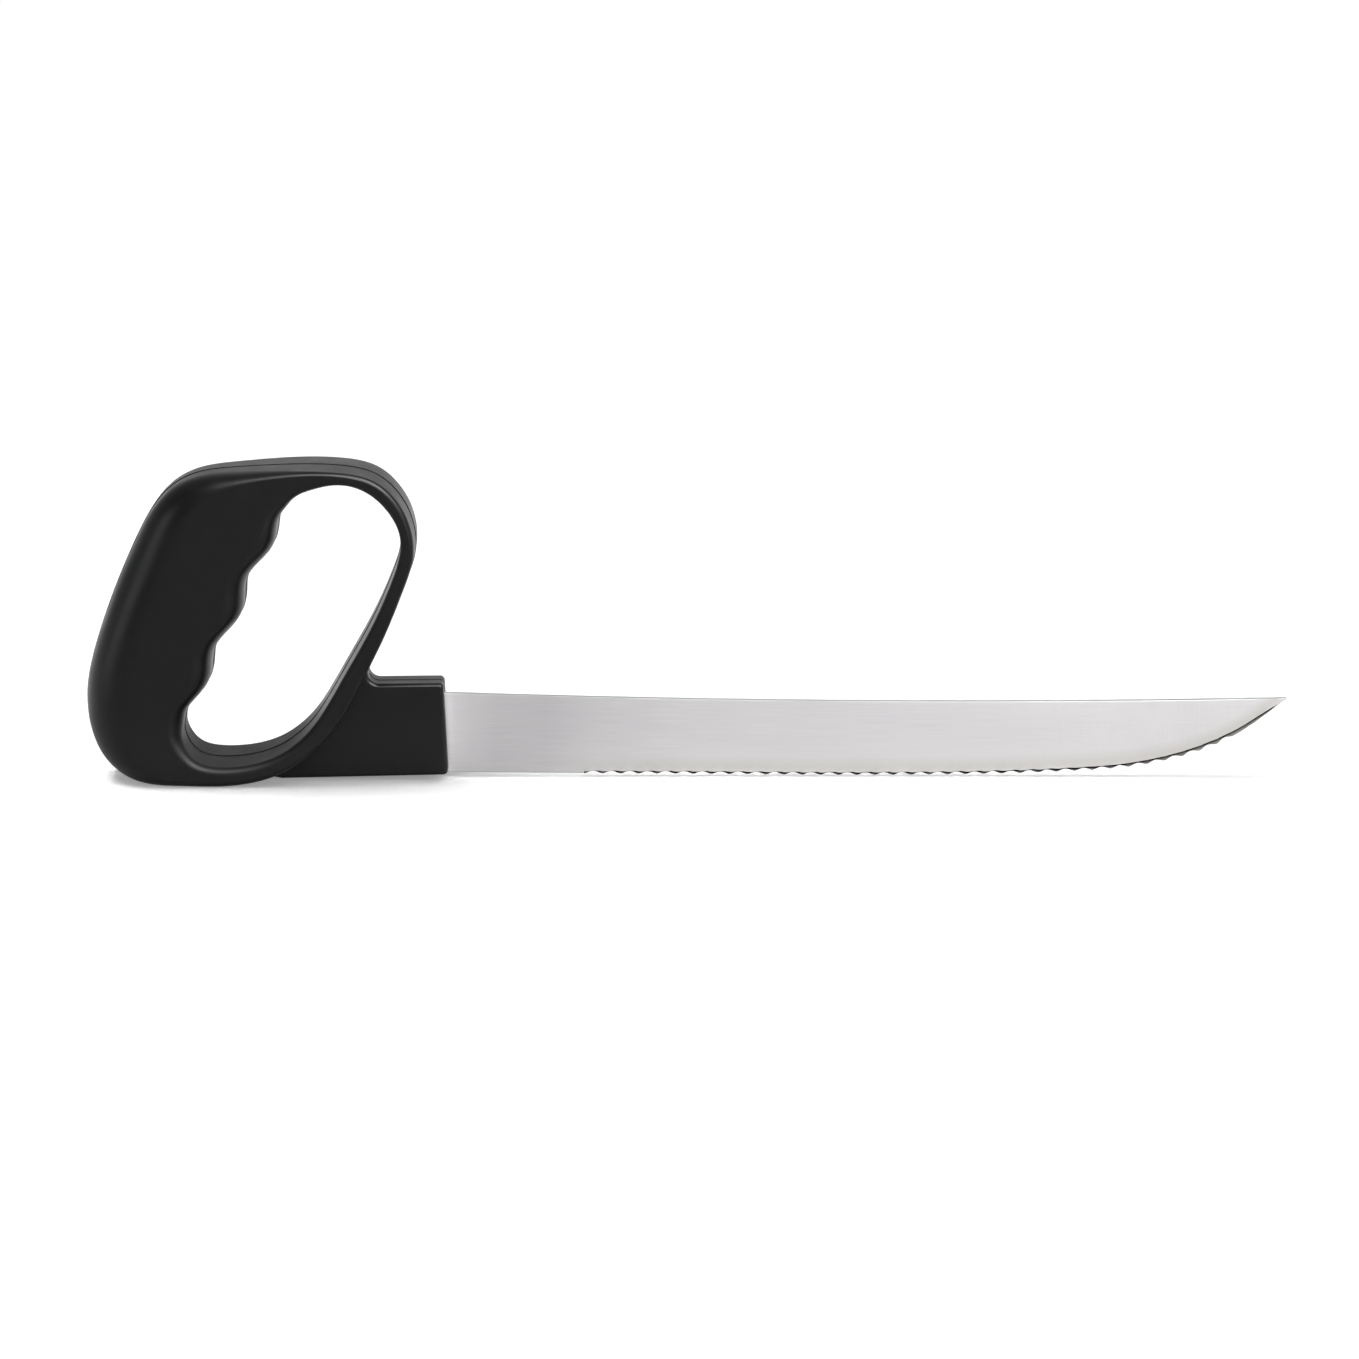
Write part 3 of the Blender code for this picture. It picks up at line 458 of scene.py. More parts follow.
def smooth(piece):
    """Smooth shading that breaks at sharp edges, led by the largest faces."""
    piece.data.shade_smooth()
    piece.data.set_sharp_from_angle(angle=SHARP_ANGLE)
    normals = piece.modifiers.new("flat faces stay flat", "WEIGHTED_NORMAL")
    normals.keep_sharp = True
    return piece


# %% [markdown]
# ## The slot and the pins' holes
# The tang is a narrower strip that runs on from the blade into the block. The halves are hollow
# just where it lies, and two steel pins pass through it, so that the blade can't be pulled out.

# %% Slot and holes
BLADE_THICK = 1.8
TANG_LOW_Z, TANG_HIGH_Z, TANG_END_WALL, TANG_CORNER = 7.0, 21.0, 6.0, 2.0
SHOULDER_BEHIND, SHOULDER_RUN = 3.0, 1.2       # how far the shoulders hide in the block
SHOULDER_X = BLOCK_FRONT_X - BLOCK_LEAN - SHOULDER_BEHIND
PIN_RADIUS, PIN_COVER, PIN_SHARES = 2.0, 1.8, (0.25, 0.75)
HOLE_STEPS = 48
SNUG = 0.05                    # clearance round the tang and the pins
PAST = 2.0                     # how far a cutter runs past what it cuts

inner_line = loop_sections(LOOP_FRONT)[0]
TANG_END_X = float(np.interp(-TANG_HIGH_Z, -inner_line[:, 1], inner_line[:, 0])) + TANG_END_WALL
PIN_X = [BLOCK_FRONT_X - share * (BLOCK_FRONT_X - TANG_END_X) for share in PIN_SHARES]
PIN_Z = (TANG_LOW_Z + TANG_HIGH_Z) / 2.0


def slot_mesh():
    """The tang's outline with a little room, open in front and below."""
    end, neck = TANG_END_X - SNUG, SHOULDER_X - SHOULDER_RUN - SNUG
    low, high = TANG_LOW_Z - SNUG, TANG_HIGH_Z + SNUG
    front, top = BLOCK_FRONT_X + PAST, spine_height(SHOULDER_X) + SNUG
    outline = [(end, low), (end, high), (neck, high), (neck, top), (front, top),
               (front, -PAST), (neck, -PAST), (neck, low)]
    room = BLADE_THICK / 2.0 + SNUG
    return slab("slot", outline, [0.0, 0.0], [-room, room])


def hole_mesh(x, half_length):
    """A round bar across the knife."""
    outline = arc((x, PIN_Z), PIN_RADIUS + SNUG, 0.0, 2.0 * math.pi, HOLE_STEPS)[:-1]
    return slab("hole", outline, [0.0, 0.0], [-half_length, half_length])


print("tang ends at x", round(TANG_END_X, 2), "and its pins are at", np.round(PIN_X, 2))

# %% [markdown]
# ## The two halves
# Both halves come from the same formulas, mirrored. Only the edge along their seam differs.

# %% Handle halves
def handle_half(name, side):
    """Loop and block of one side in one solid, with its slot and pin holes."""
    piece = add_piece(name, surface(name, loop_half(side), ring=True, inside_box=True))
    reach = BLOCK_HALF - PIN_COVER + SNUG
    work(piece, [
        ("UNION", block_half("block", side)),
        ("DIFFERENCE", slot_mesh()),
        ("DIFFERENCE", hole_mesh(PIN_X[0], reach)),
        ("DIFFERENCE", hole_mesh(PIN_X[1], reach)),
    ])
    return smooth(piece)


near_half = handle_half("handle_near_half", -1)
far_half = handle_half("handle_far_half", 1)
for half in (near_half, far_half):
    print(half.name, "has", len(half.data.polygons), "faces")

# %% [markdown]
# ## The blade
# The blade is stamped from flat strip. A wheel then grinds the scallops into the near side
# only, so each tooth is a hollow facet that leaves the far side flat. The section is a ring of
# points: far side, edge, hollow facet, a strip that is thinned very slightly, near side, and a
# back with softly broken edges. The scallops are equal lengths of the tooth line. In each one
# the edge rises as a power of a sine, and the facet's upper border follows it a little, higher
# on one side because the wheel stands at a slight angle.

# %% Tooth line
TOOTH_LINE = (                 # distance behind the tip, height, and height of the grind
    (210.1, 0.45, 1.14), (179.4, 0.34, 1.14), (149.4, 0.10, 1.15), (124.4, 0.01, 1.16),
    (99.4, 0.18, 1.20), (79.4, 0.58, 1.27), (64.4, 1.20, 1.37), (49.4, 2.22, 1.55),
    (36.4, 4.38, 1.78), (25.8, 7.46, 1.98), (15.6, 12.10, 2.00), (6.8, 18.20, 1.50),
)
SCALLOPED_ROWS = 10
SCALLOP_COUNT, SCALLOP_DEPTH, SCALLOP_STEPS = 36, 0.78, 16
SCALLOP_POWER = 1.6                     # over 1, the teeth are sharp and the arches shallow
GRIND_LIFT, GRIND_TILT = 0.20, 0.10     # how the facet's top follows the scallop, in mm
GRIND_EVEN = (-80.0, -45.0)             # from here to there it turns into an even line
GRIND_AT_TIP, TIP_HEIGHT = 0.2, 0.4
LENGTH_SAMPLES = 801                    # points on which the tooth line's length is measured


def tooth_edge():
    """x, height of the edge, height of the grind and height of the tooth line, in columns."""
    rows = np.array(TOOTH_LINE)
    rows[:, 0] = BLADE_TIP_X - rows[:, 0]
    rows = np.vstack([rows, (BLADE_TIP_X, spine_height(BLADE_TIP_X) - TIP_HEIGHT, GRIND_AT_TIP)])
    fine = spline(rows, np.linspace(0, SCALLOPED_ROWS, LENGTH_SAMPLES), closed=False)
    length = np.concatenate([[0.0], np.cumsum(np.hypot(*np.diff(fine[:, 0:2], axis=0).T))])
    steps = np.linspace(0.0, SCALLOP_COUNT, SCALLOP_COUNT * SCALLOP_STEPS + 1)
    at = steps / SCALLOP_COUNT * length[-1]
    x, z, grind = (np.interp(at, length, column) for column in fine.T)
    slope = np.gradient(z, x)
    rise = np.maximum(np.sin(math.pi * (steps % 1.0)), 0.0) ** SCALLOP_POWER
    scale = rise * SCALLOP_DEPTH / np.hypot(slope, 1.0)
    wave = GRIND_LIFT * rise - GRIND_TILT * np.sin(2.0 * math.pi * steps)
    grind = grind + wave * (1.0 - ease(*GRIND_EVEN, x - BLADE_TIP_X))
    teeth = np.stack([x - slope * scale, z + scale, grind - rise * SCALLOP_DEPTH, z], axis=1)
    count = len(rows) - 1 - SCALLOPED_ROWS
    steps = np.linspace(SCALLOPED_ROWS, len(rows) - 1, SCALLOP_STEPS * count + 1)[1:]
    rest = spline(rows, steps, closed=False)
    return np.vstack([teeth, rest[:, [0, 1, 2, 1]]])


edge = tooth_edge()
scalloped = edge[SCALLOP_COUNT * SCALLOP_STEPS, 0] - edge[0, 0]
print(SCALLOP_COUNT, "scallops, about", round(scalloped / SCALLOP_COUNT, 1), "mm apart")

# %% [markdown]
# ## The blade's sections
# Most of the blade is described by a few columns of numbers along its length: where its edge
# and back are, how high the facet is, and how far the facet cuts into the thickness. The tang
# and the plain heel use the same columns, with a small broken edge in the facet's place.

# %% Blade surface
HEEL_EDGE_Z, PLAIN_EDGE_Z = 1.3, 0.95
EDGE_BREAK, EDGE_LAND = 0.2, 0.15
GRIND_START = 0.4
SPINE_ROUND = 0.04
STRIP_HEIGHT, STRIP_DEPTH = 3.2, 0.05      # the thinned strip above the teeth
STRIP_SHARE, ROUND_SHARE = 0.6, 0.3        # how much of a narrow blade they may take up
THINNING_RUN = 5.0                         # the strip and the facets fade in over this length
HOLLOW = 0.25                              # how hollow the ground facet is
LEAST_STRIP = 1e-6                         # so that the strip always has some height
FACE_SHARE = 0.98                          # the near face's last ring, towards the spine's round
PLAIN_STEPS, TANG_STEPS = 40, 8
FACET_STEPS, FACE_STEPS, ROUND_STEPS = 6, 5, 3

THICK_HALF = BLADE_THICK / 2.0


def blade_columns():
    """Along the blade: x, edge, back, grind height, y of the edge's land, tooth line, thinning."""
    blunt, ground = -THICK_HALF + EDGE_BREAK, THICK_HALF - EDGE_LAND
    t = np.linspace(0.0, math.pi / 2.0, TANG_STEPS + 1)
    sweep = TANG_CORNER * (1.0 - np.sin(t))
    x = TANG_END_X + TANG_CORNER * (1.0 - np.cos(t))
    x = np.append(x, SHOULDER_X - SHOULDER_RUN)
    low = np.append(TANG_LOW_Z + sweep, TANG_LOW_Z)
    high = np.append(TANG_HIGH_Z - sweep, TANG_HIGH_Z)
    plain_end = edge[0, 0] - GRIND_START
    plain_x = np.linspace(SHOULDER_X, plain_end, PLAIN_STEPS)
    plain_low = np.interp(plain_x, [SHOULDER_X, plain_end], [HEEL_EDGE_Z, PLAIN_EDGE_Z])
    blunt_x = np.concatenate([x, plain_x])
    blunt_low = np.concatenate([low, plain_low])
    blunt_high = np.concatenate([high, spine_height(plain_x)])
    ones = np.ones_like(blunt_x)
    blunt_part = np.stack([blunt_x, blunt_low, blunt_high, EDGE_BREAK * ones, blunt * ones,
                           blunt_low, 0.0 * ones], axis=1)
    edge_x, edge_z, grind, line = edge.T
    high = spine_height(edge_x)
    grind = np.minimum(grind, high - edge_z - EDGE_BREAK)
    thinning = ease(0.0, THINNING_RUN, edge_x - edge[0, 0])
    ground_part = np.stack([edge_x, edge_z, high, grind, ground + 0.0 * edge_x, line,
                            thinning], axis=1)
    return np.vstack([blunt_part, ground_part]), len(blunt_part)


def blade_surface():
    """The blade's grid, and which of its faces are ground.

    Down the facet, with t from 0 at its top to 1 at the edge, the depth is D (t + c t (1 -
    t)): c makes it hollow. On the thinned strip, y falls in a straight line from the
    strip's top to the facet.
    """
    columns, blunt_count = blade_columns()
    x, low, high, grind, land_y, line, thinning = columns.T[:, :, None]
    facet_top = low + grind
    strip_top = np.minimum(line + STRIP_HEIGHT, facet_top + STRIP_SHARE * (high - facet_top))
    strip = np.maximum(strip_top - facet_top, LEAST_STRIP)
    depth = thinning * STRIP_DEPTH * np.clip(strip / STRIP_HEIGHT, 0.0, 1.0)
    corner = np.minimum(SPINE_ROUND, ROUND_SHARE * (high - strip_top))
    a = np.linspace(0.0, math.pi / 2.0, ROUND_STEPS + 1)[None, :]
    t = np.linspace(1.0, 0.0, FACET_STEPS + 1)[None, :]
    s = np.linspace(0.0, 1.0, FACE_STEPS + 1)[None, 1:]
    facet_y = -THICK_HALF + depth
    hollow = HOLLOW * thinning
    ones = np.ones_like(x)
    y = np.hstack([
        THICK_HALF - corner * (1.0 - np.sin(a)),
        THICK_HALF * ones,
        facet_y + (land_y - facet_y) * (t + hollow * t * (1.0 - t)),
        -THICK_HALF + depth * (1.0 - s),
        -THICK_HALF + 0.0 * s * ones,
        -THICK_HALF + corner * (1.0 - np.cos(a)),
    ])
    z = np.hstack([
        high - corner * (1.0 - np.cos(a)),
        low,
        low + grind * (1.0 - t),
        facet_top + strip * s,
        strip_top + (high - corner - strip_top) * s * FACE_SHARE,
        high - corner * (1.0 - np.sin(a)),
    ])
    points = np.stack([np.broadcast_to(x, y.shape), y, z], axis=-1)
    first_facet = a.size + 1              # after the spine's round and the far side
    ground = np.zeros((len(columns) - 1, y.shape[1]), dtype=bool)
    ground[blunt_count:, first_facet:first_facet + FACET_STEPS] = True
    return points, ground, z - line, np.maximum(facet_top - z, 0.0) * (thinning > 0.0)


points, ground, above_line, down_facet = blade_surface()
mesh = surface("blade_strip", points)
facets = np.zeros(len(mesh.polygons), dtype=np.int32)
facets[:ground.size] = ground.ravel()
mesh.polygons.foreach_set("material_index", facets)
for label, values in (("above_teeth", above_line), ("down_facet", down_facet)):
    attribute = mesh.attributes.new(label, "FLOAT", "POINT")
    attribute.data.foreach_set("value", values.ravel().astype(np.float32))
blade = add_piece("blade_strip", mesh)
print("the blade has", len(mesh.polygons), "faces, of which", int(ground.sum()), "are ground")

# %% Pin holes in the tang
MATERIAL_COUNT = 2
for _ in range(MATERIAL_COUNT):
    blade.data.materials.append(None)
work(blade, [("DIFFERENCE", hole_mesh(x, PAST)) for x in PIN_X])
smooth(blade)
print("blade after drilling:", len(blade.data.polygons), "faces")

# %% [markdown]
# ## Helpers for materials
# Colours are written as sRGB hex, as a colour picker shows them, and turned to the linear
# values that the renderer wants. One helper adds any node, sets it and links it. Two more call
# it for what comes back most often: a fade from one value to another, and a sum.

# %% Colour and node helpers
def linear(colour):
    """sRGB hex to linear: c / 12.92 up to 0.04045, above it ((c + 0.055) / 1.055)^2.4."""
    c = np.array([int(colour[i:i + 2], 16) for i in (1, 3, 5)]) / 255.0
    value = np.where(c <= 0.04045, c / 12.92, ((c + 0.055) / 1.055) ** 2.4)
    return (*value.tolist(), 1.0)


def add(tree, kind, sockets=None, **settings):
    """Adds a node. Each socket, by name or number, gets a value or another node's output."""
    made = tree.nodes.new(kind)
    for name, value in settings.items():
        setattr(made, name, value)
    for name, value in (sockets or {}).items():
        if isinstance(value, bpy.types.NodeSocket):
            tree.links.new(value, made.inputs[name])
        else:
            made.inputs[name].default_value = value
    return made


def fade(tree, value, start, end, low=0.0, high=1.0):
    """Turns start to end of a value into low to high, and holds both beyond them."""
    return add(tree, "ShaderNodeMapRange", {
        "Value": value, "From Min": start, "From Max": end, "To Min": low,
        "To Max": high}).outputs["Result"]


def combine(tree, operation, a, b=0.5):
    """A sum on one or two values, such as ADD, MULTIPLY or MAXIMUM."""
    return add(tree, "ShaderNodeMath", {0: a, 1: b}, operation=operation).outputs["Value"]


def new_material(name):
    """An empty material and its node tree."""
    material = bpy.data.materials.new(name)
    material.use_nodes = True
    material.node_tree.nodes.clear()
    return material, material.node_tree


# %% [markdown]
# ## Black polypropylene, injection moulded
# The handle is glossy black plastic that was moulded against a finely blasted steel tool. That
# leaves a skin of tiny bumps, about a fifth of a millimetre wide, which blurs the lamps to a
# satin sheen. The plastic itself is almost black, so nearly all that the eye sees is sheen.
# Slow changes in roughness, a few millimetres wide, come from how the melt flowed. Low in the
# hand opening the tool was blasted coarser, so the plastic is duller there than on top.

# %% Handle material
NOISE = (0.3, 0.7)                         # most of a noise lies between these
FLOW_SCALE, GRAIN_SCALE = 140.0, 4500.0    # per metre, which is 7 mm and 0.22 mm wide
PLASTIC_ROUGH, COARSE_ROUGH = (0.32, 0.38), 0.16
COARSE_BELOW, COARSE_ABOVE = 12.0, 24.0    # it fades out between these, mm above the foot


def moulded_plastic():
    """Satin black: dark base, blurred reflections, grain by bump."""
    material, tree = new_material("polypropylene_black_moulded")
    place = add(tree, "ShaderNodeTexCoord").outputs["Object"]
    flow = add(tree, "ShaderNodeTexNoise", {"Vector": place, "Scale": FLOW_SCALE,
                                            "Detail": 2.0}).outputs["Fac"]
    height = add(tree, "ShaderNodeSeparateXYZ", {"Vector": place}).outputs["Z"]
    coarse = fade(tree, height, COARSE_BELOW * MM, COARSE_ABOVE * MM, COARSE_ROUGH, 0.0)
    rough = combine(tree, "ADD", fade(tree, flow, *NOISE, *PLASTIC_ROUGH), coarse)
    grain = add(tree, "ShaderNodeTexNoise", {"Vector": place, "Scale": GRAIN_SCALE,
                                             "Detail": 2.0, "Roughness": 0.6})
    bump = add(tree, "ShaderNodeBump", {"Height": grain.outputs["Fac"], "Strength": 0.25,
                                        "Distance": 0.02 * MM})
    shader = add(tree, "ShaderNodeBsdfPrincipled", {
        "Base Color": linear("#0B0B0C"), "Roughness": rough,
        "IOR": 1.33, "Specular IOR Level": 0.28, "Normal": bump.outputs["Normal"]})
    add(tree, "ShaderNodeOutputMaterial", {"Surface": shader.outputs["BSDF"]})
    return material


plastic = moulded_plastic()
for half in (near_half, far_half):
    half.data.materials.clear()
    half.data.materials.append(plastic)
print("handle material:", plastic.name)

# %% [markdown]
# ## Stainless steel strip, brushed
# The strip runs under an abrasive belt, which leaves scratches along the blade: a tenth to a
# third of a millimetre apart, and several centimetres long. To the eye they are fine pale and
# dark threads, and they spread reflections up and down. A band two to four millimetres above
# the teeth is painted a little warmer and darker, as painted shade over its reflection. The
# steel's brightness along the blade is a painted reflection: palest beside the block, darkest
# two centimetres on, where the handle dims the floor that the blade reflects, and even from
# there to the tip. Steel that faces up, which is mostly the spine, is painted darker as shade.

# %% Blade material
# Painted reflection: brightness along the blade (x in mm). Painted shade: how much of the
# darker band's colour there is at a height above the teeth (mm).
REFLECTION_PAINTED_GREYS = ((-71.2, 0.97), (-69.6, 0.82), (-65.0, 0.73), (-57.0, 0.65), (-42.0, 0.63),
              (-26.0, 0.71), (4.0, 0.77), (124.0, 0.76), (154.0, 0.735), (179.4, 0.735))
LOW_BAND_PAINTED_SHADE = ((0.0, 0.15), (1.0, 0.20), (2.2, 1.0), (3.4, 1.0), (6.5, 0.0))
UP_FACING_PAINTED_SHADE = 0.66                         # painted shade: up-facing steel's brightness beside the face's
FACING_UP = (0.3, 0.9)                     # the normal's Z: the painted shade comes in here
TOOTHED_FROM, TOOTHED_TO = -50.0, -10.0    # the painted darker band fades in between these, x in mm
CROSSED_FROM, CROSSED_TO = 60.0, 140.0     # and so do marks across the blade, near the tip
CROSSED_SHARE, BROAD_SHARE = 0.35, 0.20    # of those marks, and of the broad threads
STEEL_ROUGH = (0.30, 0.40)


def brushed_steel():
    """Fine threads along X in colour, roughness and bump, over soft broad bands; painted
    reflection and shade in the colour.
    """
    material, tree = new_material("stainless_steel_brushed_painted_reflection")
    coordinates = add(tree, "ShaderNodeTexCoord").outputs
    place = coordinates["Object"]

    def threads(length, width, detail):
        """Noise drawn out into threads of a length and width in mm."""
        stretched = add(tree, "ShaderNodeMapping", {
            "Vector": place, "Scale": (1.0 / (length * MM), 1.0, 1.0 / (width * MM))})
        return add(tree, "ShaderNodeTexNoise", {
            "Vector": stretched.outputs["Vector"], "Scale": 1.0, "Detail": detail}).outputs["Fac"]

    def greys(value, unit, stops):
        """A ramp of greys over a value: each stop is a value in the unit, and its grey."""
        low, high = stops[0][0], stops[-1][0]
        ramp = add(tree, "ShaderNodeValToRGB", {"Fac": fade(tree, value, low * unit, high * unit)})
        marks = ramp.color_ramp.elements
        while len(marks) < len(stops):
            marks.new(1.0)
        for mark, (at, grey) in zip(marks, stops):
            mark.position, mark.color = (at - low) / (high - low), (grey, grey, grey, 1.0)
        return ramp.outputs["Color"]

    along = add(tree, "ShaderNodeSeparateXYZ", {"Vector": place}).outputs["X"]
    fine, broad, cross = threads(16.0, 0.26, 3.0), threads(70.0, 1.6, 2.0), threads(0.5, 9.0, 2.0)
    both = add(tree, "ShaderNodeMix", {0: BROAD_SHARE, 2: fine, 3: broad},
               data_type="FLOAT").outputs[0]
    near_tip = fade(tree, along, CROSSED_FROM * MM, CROSSED_TO * MM, 0.0, CROSSED_SHARE)
    both = add(tree, "ShaderNodeMix", {0: near_tip, 2: both, 3: cross},
               data_type="FLOAT").outputs[0]
    colour = add(tree, "ShaderNodeValToRGB", {"Fac": both})
    for mark, at, shade in zip(colour.color_ramp.elements, NOISE, ("#C2C0C1", "#CCCACB")):
        mark.position, mark.color = at, linear(shade)
    above = add(tree, "ShaderNodeAttribute", attribute_name="above_teeth").outputs["Fac"]
    toothed = fade(tree, along, TOOTHED_FROM * MM, TOOTHED_TO * MM)
    # painted shade: a darker, warmer band above the teeth
    strip = combine(tree, "MULTIPLY", greys(above, 1.0, LOW_BAND_PAINTED_SHADE), toothed)
    ramped = add(tree, "ShaderNodeMix", {0: strip, 6: colour.outputs["Color"],
                                         7: linear("#BDBBB8")}, data_type="RGBA").outputs[2]
    # painted reflection: brighter beside the block, darker near the handle, even towards the tip
    ramped = add(tree, "ShaderNodeMix", {0: 1.0, 6: ramped, 7: greys(along, MM, REFLECTION_PAINTED_GREYS)},
                 data_type="RGBA", blend_type="MULTIPLY").outputs[2]
    # painted shade: steel that faces up, mostly the spine, is darker
    up = add(tree, "ShaderNodeSeparateXYZ", {"Vector": coordinates["Normal"]}).outputs["Z"]
    ramped = add(tree, "ShaderNodeVectorMath", {
        0: ramped, "Scale": fade(tree, up, *FACING_UP, 1.0, UP_FACING_PAINTED_SHADE)},
        operation="SCALE").outputs["Vector"]
    bump = add(tree, "ShaderNodeBump", {"Height": fine, "Strength": 0.3, "Distance": 0.01 * MM})
    shader = add(tree, "ShaderNodeBsdfPrincipled", {
        "Base Color": ramped, "Metallic": 1.0, "Roughness": fade(tree, both, *NOISE, *STEEL_ROUGH),
        "Normal": bump.outputs["Normal"]})
    add(tree, "ShaderNodeOutputMaterial", {"Surface": shader.outputs["BSDF"]})
    return material


# %% [markdown]
# ## Stainless steel, ground across the edge
# The wheel that cuts the scallops runs across the edge, so its marks run up each facet instead
# of along the blade, and are coarser. The facets face down, and their colour and grazing tint are
# painted dark: painted shade for the dim floor under the blade that they reflect. More than a
# millimetre below its upper border, which only happens near the tip, a facet is painted paler:
# painted light for the brighter floor that it reflects there.

# %% Facet material
GROUND_ROUGH = (0.24, 0.36)
# painted shade on the facets, and paler painted light lower on them near the tip
FACET_PAINTED_SHADE, FACET_TIP_PAINTED_LIGHT, FACET_GRAZING_PAINTED_SHADE = "#4A4846", "#8E8C8A", "#5A5A5A"
PAINTED_LIGHT_FROM, PAINTED_LIGHT_TO = 0.6, 1.1            # mm down the facet


def ground_steel(name, along, across, colour):
    """Metal with grinding marks: along and across are the marks' lengths in mm on X and Z."""
    material, tree = new_material(name)
    place = add(tree, "ShaderNodeTexCoord").outputs["Object"]
    stretched = add(tree, "ShaderNodeMapping", {
        "Vector": place, "Scale": (1.0 / (along * MM), 1.0 / (across * MM), 1.0 / (across * MM))})
    marks = add(tree, "ShaderNodeTexNoise", {"Vector": stretched.outputs["Vector"],
                                             "Scale": 1.0, "Detail": 2.0}).outputs["Fac"]
    bump = add(tree, "ShaderNodeBump", {"Height": marks, "Strength": 0.3, "Distance": 0.01 * MM})
    shader = add(tree, "ShaderNodeBsdfPrincipled", {
        "Base Color": linear(colour), "Metallic": 1.0,
        "Roughness": fade(tree, marks, *NOISE, *GROUND_ROUGH),
        "Normal": bump.outputs["Normal"]})
    add(tree, "ShaderNodeOutputMaterial", {"Surface": shader.outputs["BSDF"]})
    return material


facet_steel = ground_steel("stainless_steel_cross_ground_painted_light_and_shade", 0.25, 6.0, FACET_PAINTED_SHADE)
tree = facet_steel.node_tree
shader = tree.nodes["Principled BSDF"].inputs
# painted shade: the facets' grazing reflections are tinted grey
shader["Specular Tint"].default_value = linear(FACET_GRAZING_PAINTED_SHADE)
# painted light: lower down a facet, near the tip, its colour is paler
down = add(tree, "ShaderNodeAttribute", attribute_name="down_facet").outputs["Fac"]
colour = add(tree, "ShaderNodeMix", {
    0: fade(tree, down, PAINTED_LIGHT_FROM, PAINTED_LIGHT_TO), 6: linear(FACET_PAINTED_SHADE),
    7: linear(FACET_TIP_PAINTED_LIGHT)}, data_type="RGBA").outputs[2]
tree.links.new(colour, shader["Base Color"])
blade.data.materials[0] = brushed_steel()
blade.data.materials[1] = facet_steel
pin_steel = ground_steel("silver_steel_centreless_ground", 3.0, 0.3, "#C4C4C6")
for name in ("tang_pin_front", "tang_pin_rear"):
    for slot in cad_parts[name].material_slots:
        slot.material = pin_steel
print("blade materials:", [material.name for material in blade.data.materials])

# %% [markdown]
# ## Which piece stands for which node
# Each new piece rides on the knife's one body and takes the place of its CAD node. The pins
# keep their CAD shape, because a plain ground pin is all that they are.

# %% Ride and replace
for piece, node, slot in ((near_half, "handle_shell_near", "handle_plastic"),
                          (far_half, "handle_shell_far", "handle_plastic"),
                          (blade, "blade", "blade_steel")):
    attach(piece, "root")
    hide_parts(node)
    print(piece.name, "stands for", node)

# %% [markdown]
# ## Floor
# The knife stands on a sheet of white opal acrylic, as in many product pictures. Light enters
# it, spreads a few millimetres and comes out again, so that the shadow of a thin blade is soft
# and pale while the thick handle still has a dark one. Rays from the camera see a little more
# light in it, so that it merges with the white behind it.

# %% Floor
FLOOR_HALF, FLOOR_TILES = 30.0, 8          # metres, and tiles along a side
FLOOR_GLOW, FLOOR_SPREAD = 0.22, 5.0       # the spread is in mm
across = np.linspace(-FLOOR_HALF, FLOOR_HALF, FLOOR_TILES + 1)
floor_x, floor_y = np.meshgrid(across, across, indexing="ij")
corners = np.stack([floor_x, floor_y, 0.0 * floor_x], axis=-1).reshape(-1, 3)
i, k = (index.ravel() for index in np.indices((FLOOR_TILES, FLOOR_TILES)))
here, after = i * across.size + k, (i + 1) * across.size + k
tiles = np.stack([here, after, after + 1, here + 1], axis=1)
floor_mesh = bpy.data.meshes.new("floor")
floor_mesh.from_pydata(corners, [], tiles.tolist())
floor = add_piece("floor", floor_mesh)


def sight_rays(tree):
    """1 for rays from the camera, from a shiny surface or through glass, otherwise 0."""
    path = add(tree, "ShaderNodeLightPath").outputs
    seen = combine(tree, "MAXIMUM", path["Is Camera Ray"], path["Is Glossy Ray"])
    return combine(tree, "MAXIMUM", seen, path["Is Transmission Ray"])


acrylic, tree = new_material("acrylic_opal_white_cast")
seen = sight_rays(tree)
glow = combine(tree, "MULTIPLY", seen, FLOOR_GLOW)
sheet = add(tree, "ShaderNodeBsdfPrincipled", {
    "Base Color": linear("#F2F2F2"), "Roughness": 1.0, "Specular IOR Level": 0.0,
    "Subsurface Weight": 1.0, "Subsurface Radius": (1.0, 1.0, 1.0),
    "Subsurface Scale": FLOOR_SPREAD * MM}, subsurface_method="BURLEY").outputs["BSDF"]
light = add(tree, "ShaderNodeEmission", {"Strength": glow}).outputs["Emission"]
total = add(tree, "ShaderNodeAddShader", {0: sheet, 1: light}).outputs["Shader"]
add(tree, "ShaderNodeOutputMaterial", {"Surface": total})
floor.data.materials.append(acrylic)
print("floor is", 2 * FLOOR_HALF, "m wide")

# %% [markdown]
# ## Studio light
# A white room gives even light from all sides. In reflections it is bright only straight ahead
# and straight behind, and falls off upwards and sideways: so flat tops come out grey, and each
# rounded edge starts with a dark band. One soft lamp overhead lights the floor and throws the
# shadow. Two wide ones are seen in reflections only, as softboxes are, and draw the bright line
# along every upper and right edge. A panel to the left gives the grip its soft sheen, and one in
# front to the right makes the blade brighter towards its tip.

# %% World and lamps
ROOM_LIGHT, WALL_LIGHT = 0.33, 0.92
WALL_EDGE, WALL_FULL = math.radians(36.0), math.radians(21.0)     # from straight ahead

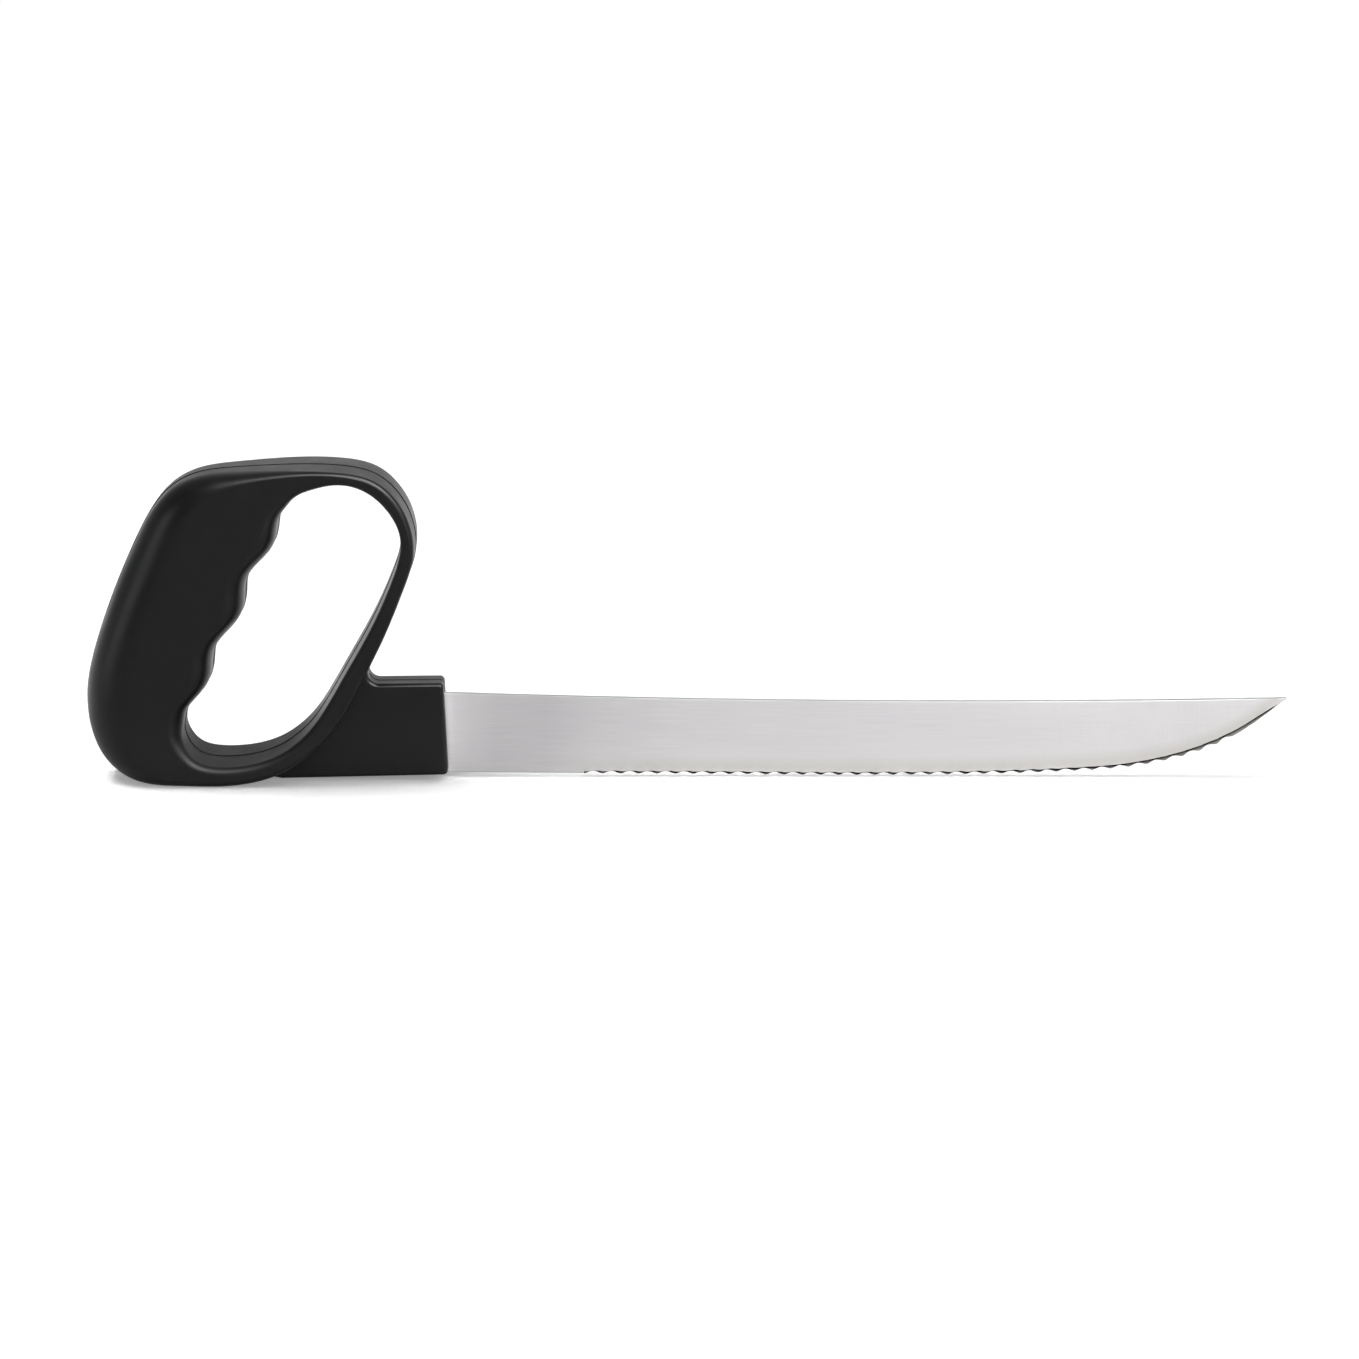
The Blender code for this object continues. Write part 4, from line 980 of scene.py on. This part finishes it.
world = bpy.data.worlds.new("white_room")
bpy.context.scene.world = world
world.use_nodes = True
tree = world.node_tree
tree.nodes.clear()
seen = sight_rays(tree)
direction = add(tree, "ShaderNodeTexCoord").outputs["Generated"]
depth = add(tree, "ShaderNodeSeparateXYZ", {"Vector": direction}).outputs["Y"]
wall = fade(tree, combine(tree, "ABSOLUTE", depth), math.cos(WALL_EDGE), math.cos(WALL_FULL),
            ROOM_LIGHT, WALL_LIGHT)
camera_sees = add(tree, "ShaderNodeLightPath").outputs["Is Camera Ray"]
strength = fade(tree, seen, 0.0, 1.0, ROOM_LIGHT, combine(tree, "MAXIMUM", wall, camera_sees))
background = add(tree, "ShaderNodeBackground", {"Color": (1.0, 1.0, 1.0, 1.0),
                                                "Strength": strength})
add(tree, "ShaderNodeOutputWorld", {"Surface": background.outputs["Background"]})


def aim(lamp, place, target):
    """Puts a lamp at a place and turns it so that it shines at a target."""
    lamp.location = place
    direction = Vector(target) - Vector(place)
    lamp.rotation_euler = direction.to_track_quat("-Z", "Y").to_euler()


def far_softbox(name, place, energy, angle):
    """A round lamp so far away that only its direction and its apparent size count."""
    data = bpy.data.lights.new(name, "SUN")
    data.energy, data.angle = energy, math.radians(angle)
    lamp = bpy.data.objects.new(name, data)
    bpy.context.scene.collection.objects.link(lamp)
    aim(lamp, place, (0.0, 0.0, 0.0))
    return lamp


overhead = far_softbox("overhead_softbox", (-0.38, 0.06, 1.0), 2.4, 20.0)
overhead.visible_glossy = False
edge_light = far_softbox("edge_softbox", (0.42, -0.33, 1.0), 15.5, 60.0)
side_light = far_softbox("side_softbox", (0.80, -0.17, 0.57), 2.7, 36.0)
for lamp in (edge_light, side_light):
    lamp.visible_diffuse = False


def panel(name, place, target, width, height, radiance):
    """A flat lamp of a given radiance: its power is pi times its area times that."""
    data = bpy.data.lights.new(name, "AREA")
    data.shape = "RECTANGLE"
    data.size, data.size_y = width, height
    data.energy = math.pi * width * height * radiance
    lamp = bpy.data.objects.new(name, data)
    lamp.visible_camera = False
    bpy.context.scene.collection.objects.link(lamp)
    aim(lamp, place, target)
    return lamp


panel("left_panel", (-1.1, -0.25, 0.22), (-0.16, 0.0, 0.05), 0.45, 0.4, 3.0)
panel("right_panel", (0.30, -0.50, 0.12), (0.14, 0.0, 0.01), 0.30, 0.15, 10.0)

# %% [markdown]
# ## The end
# Colours are shown with the plain Standard view transform. The visual model has to fill the
# same box as the CAD model.

# %% Finish
bpy.context.scene.view_settings.view_transform = "Standard"
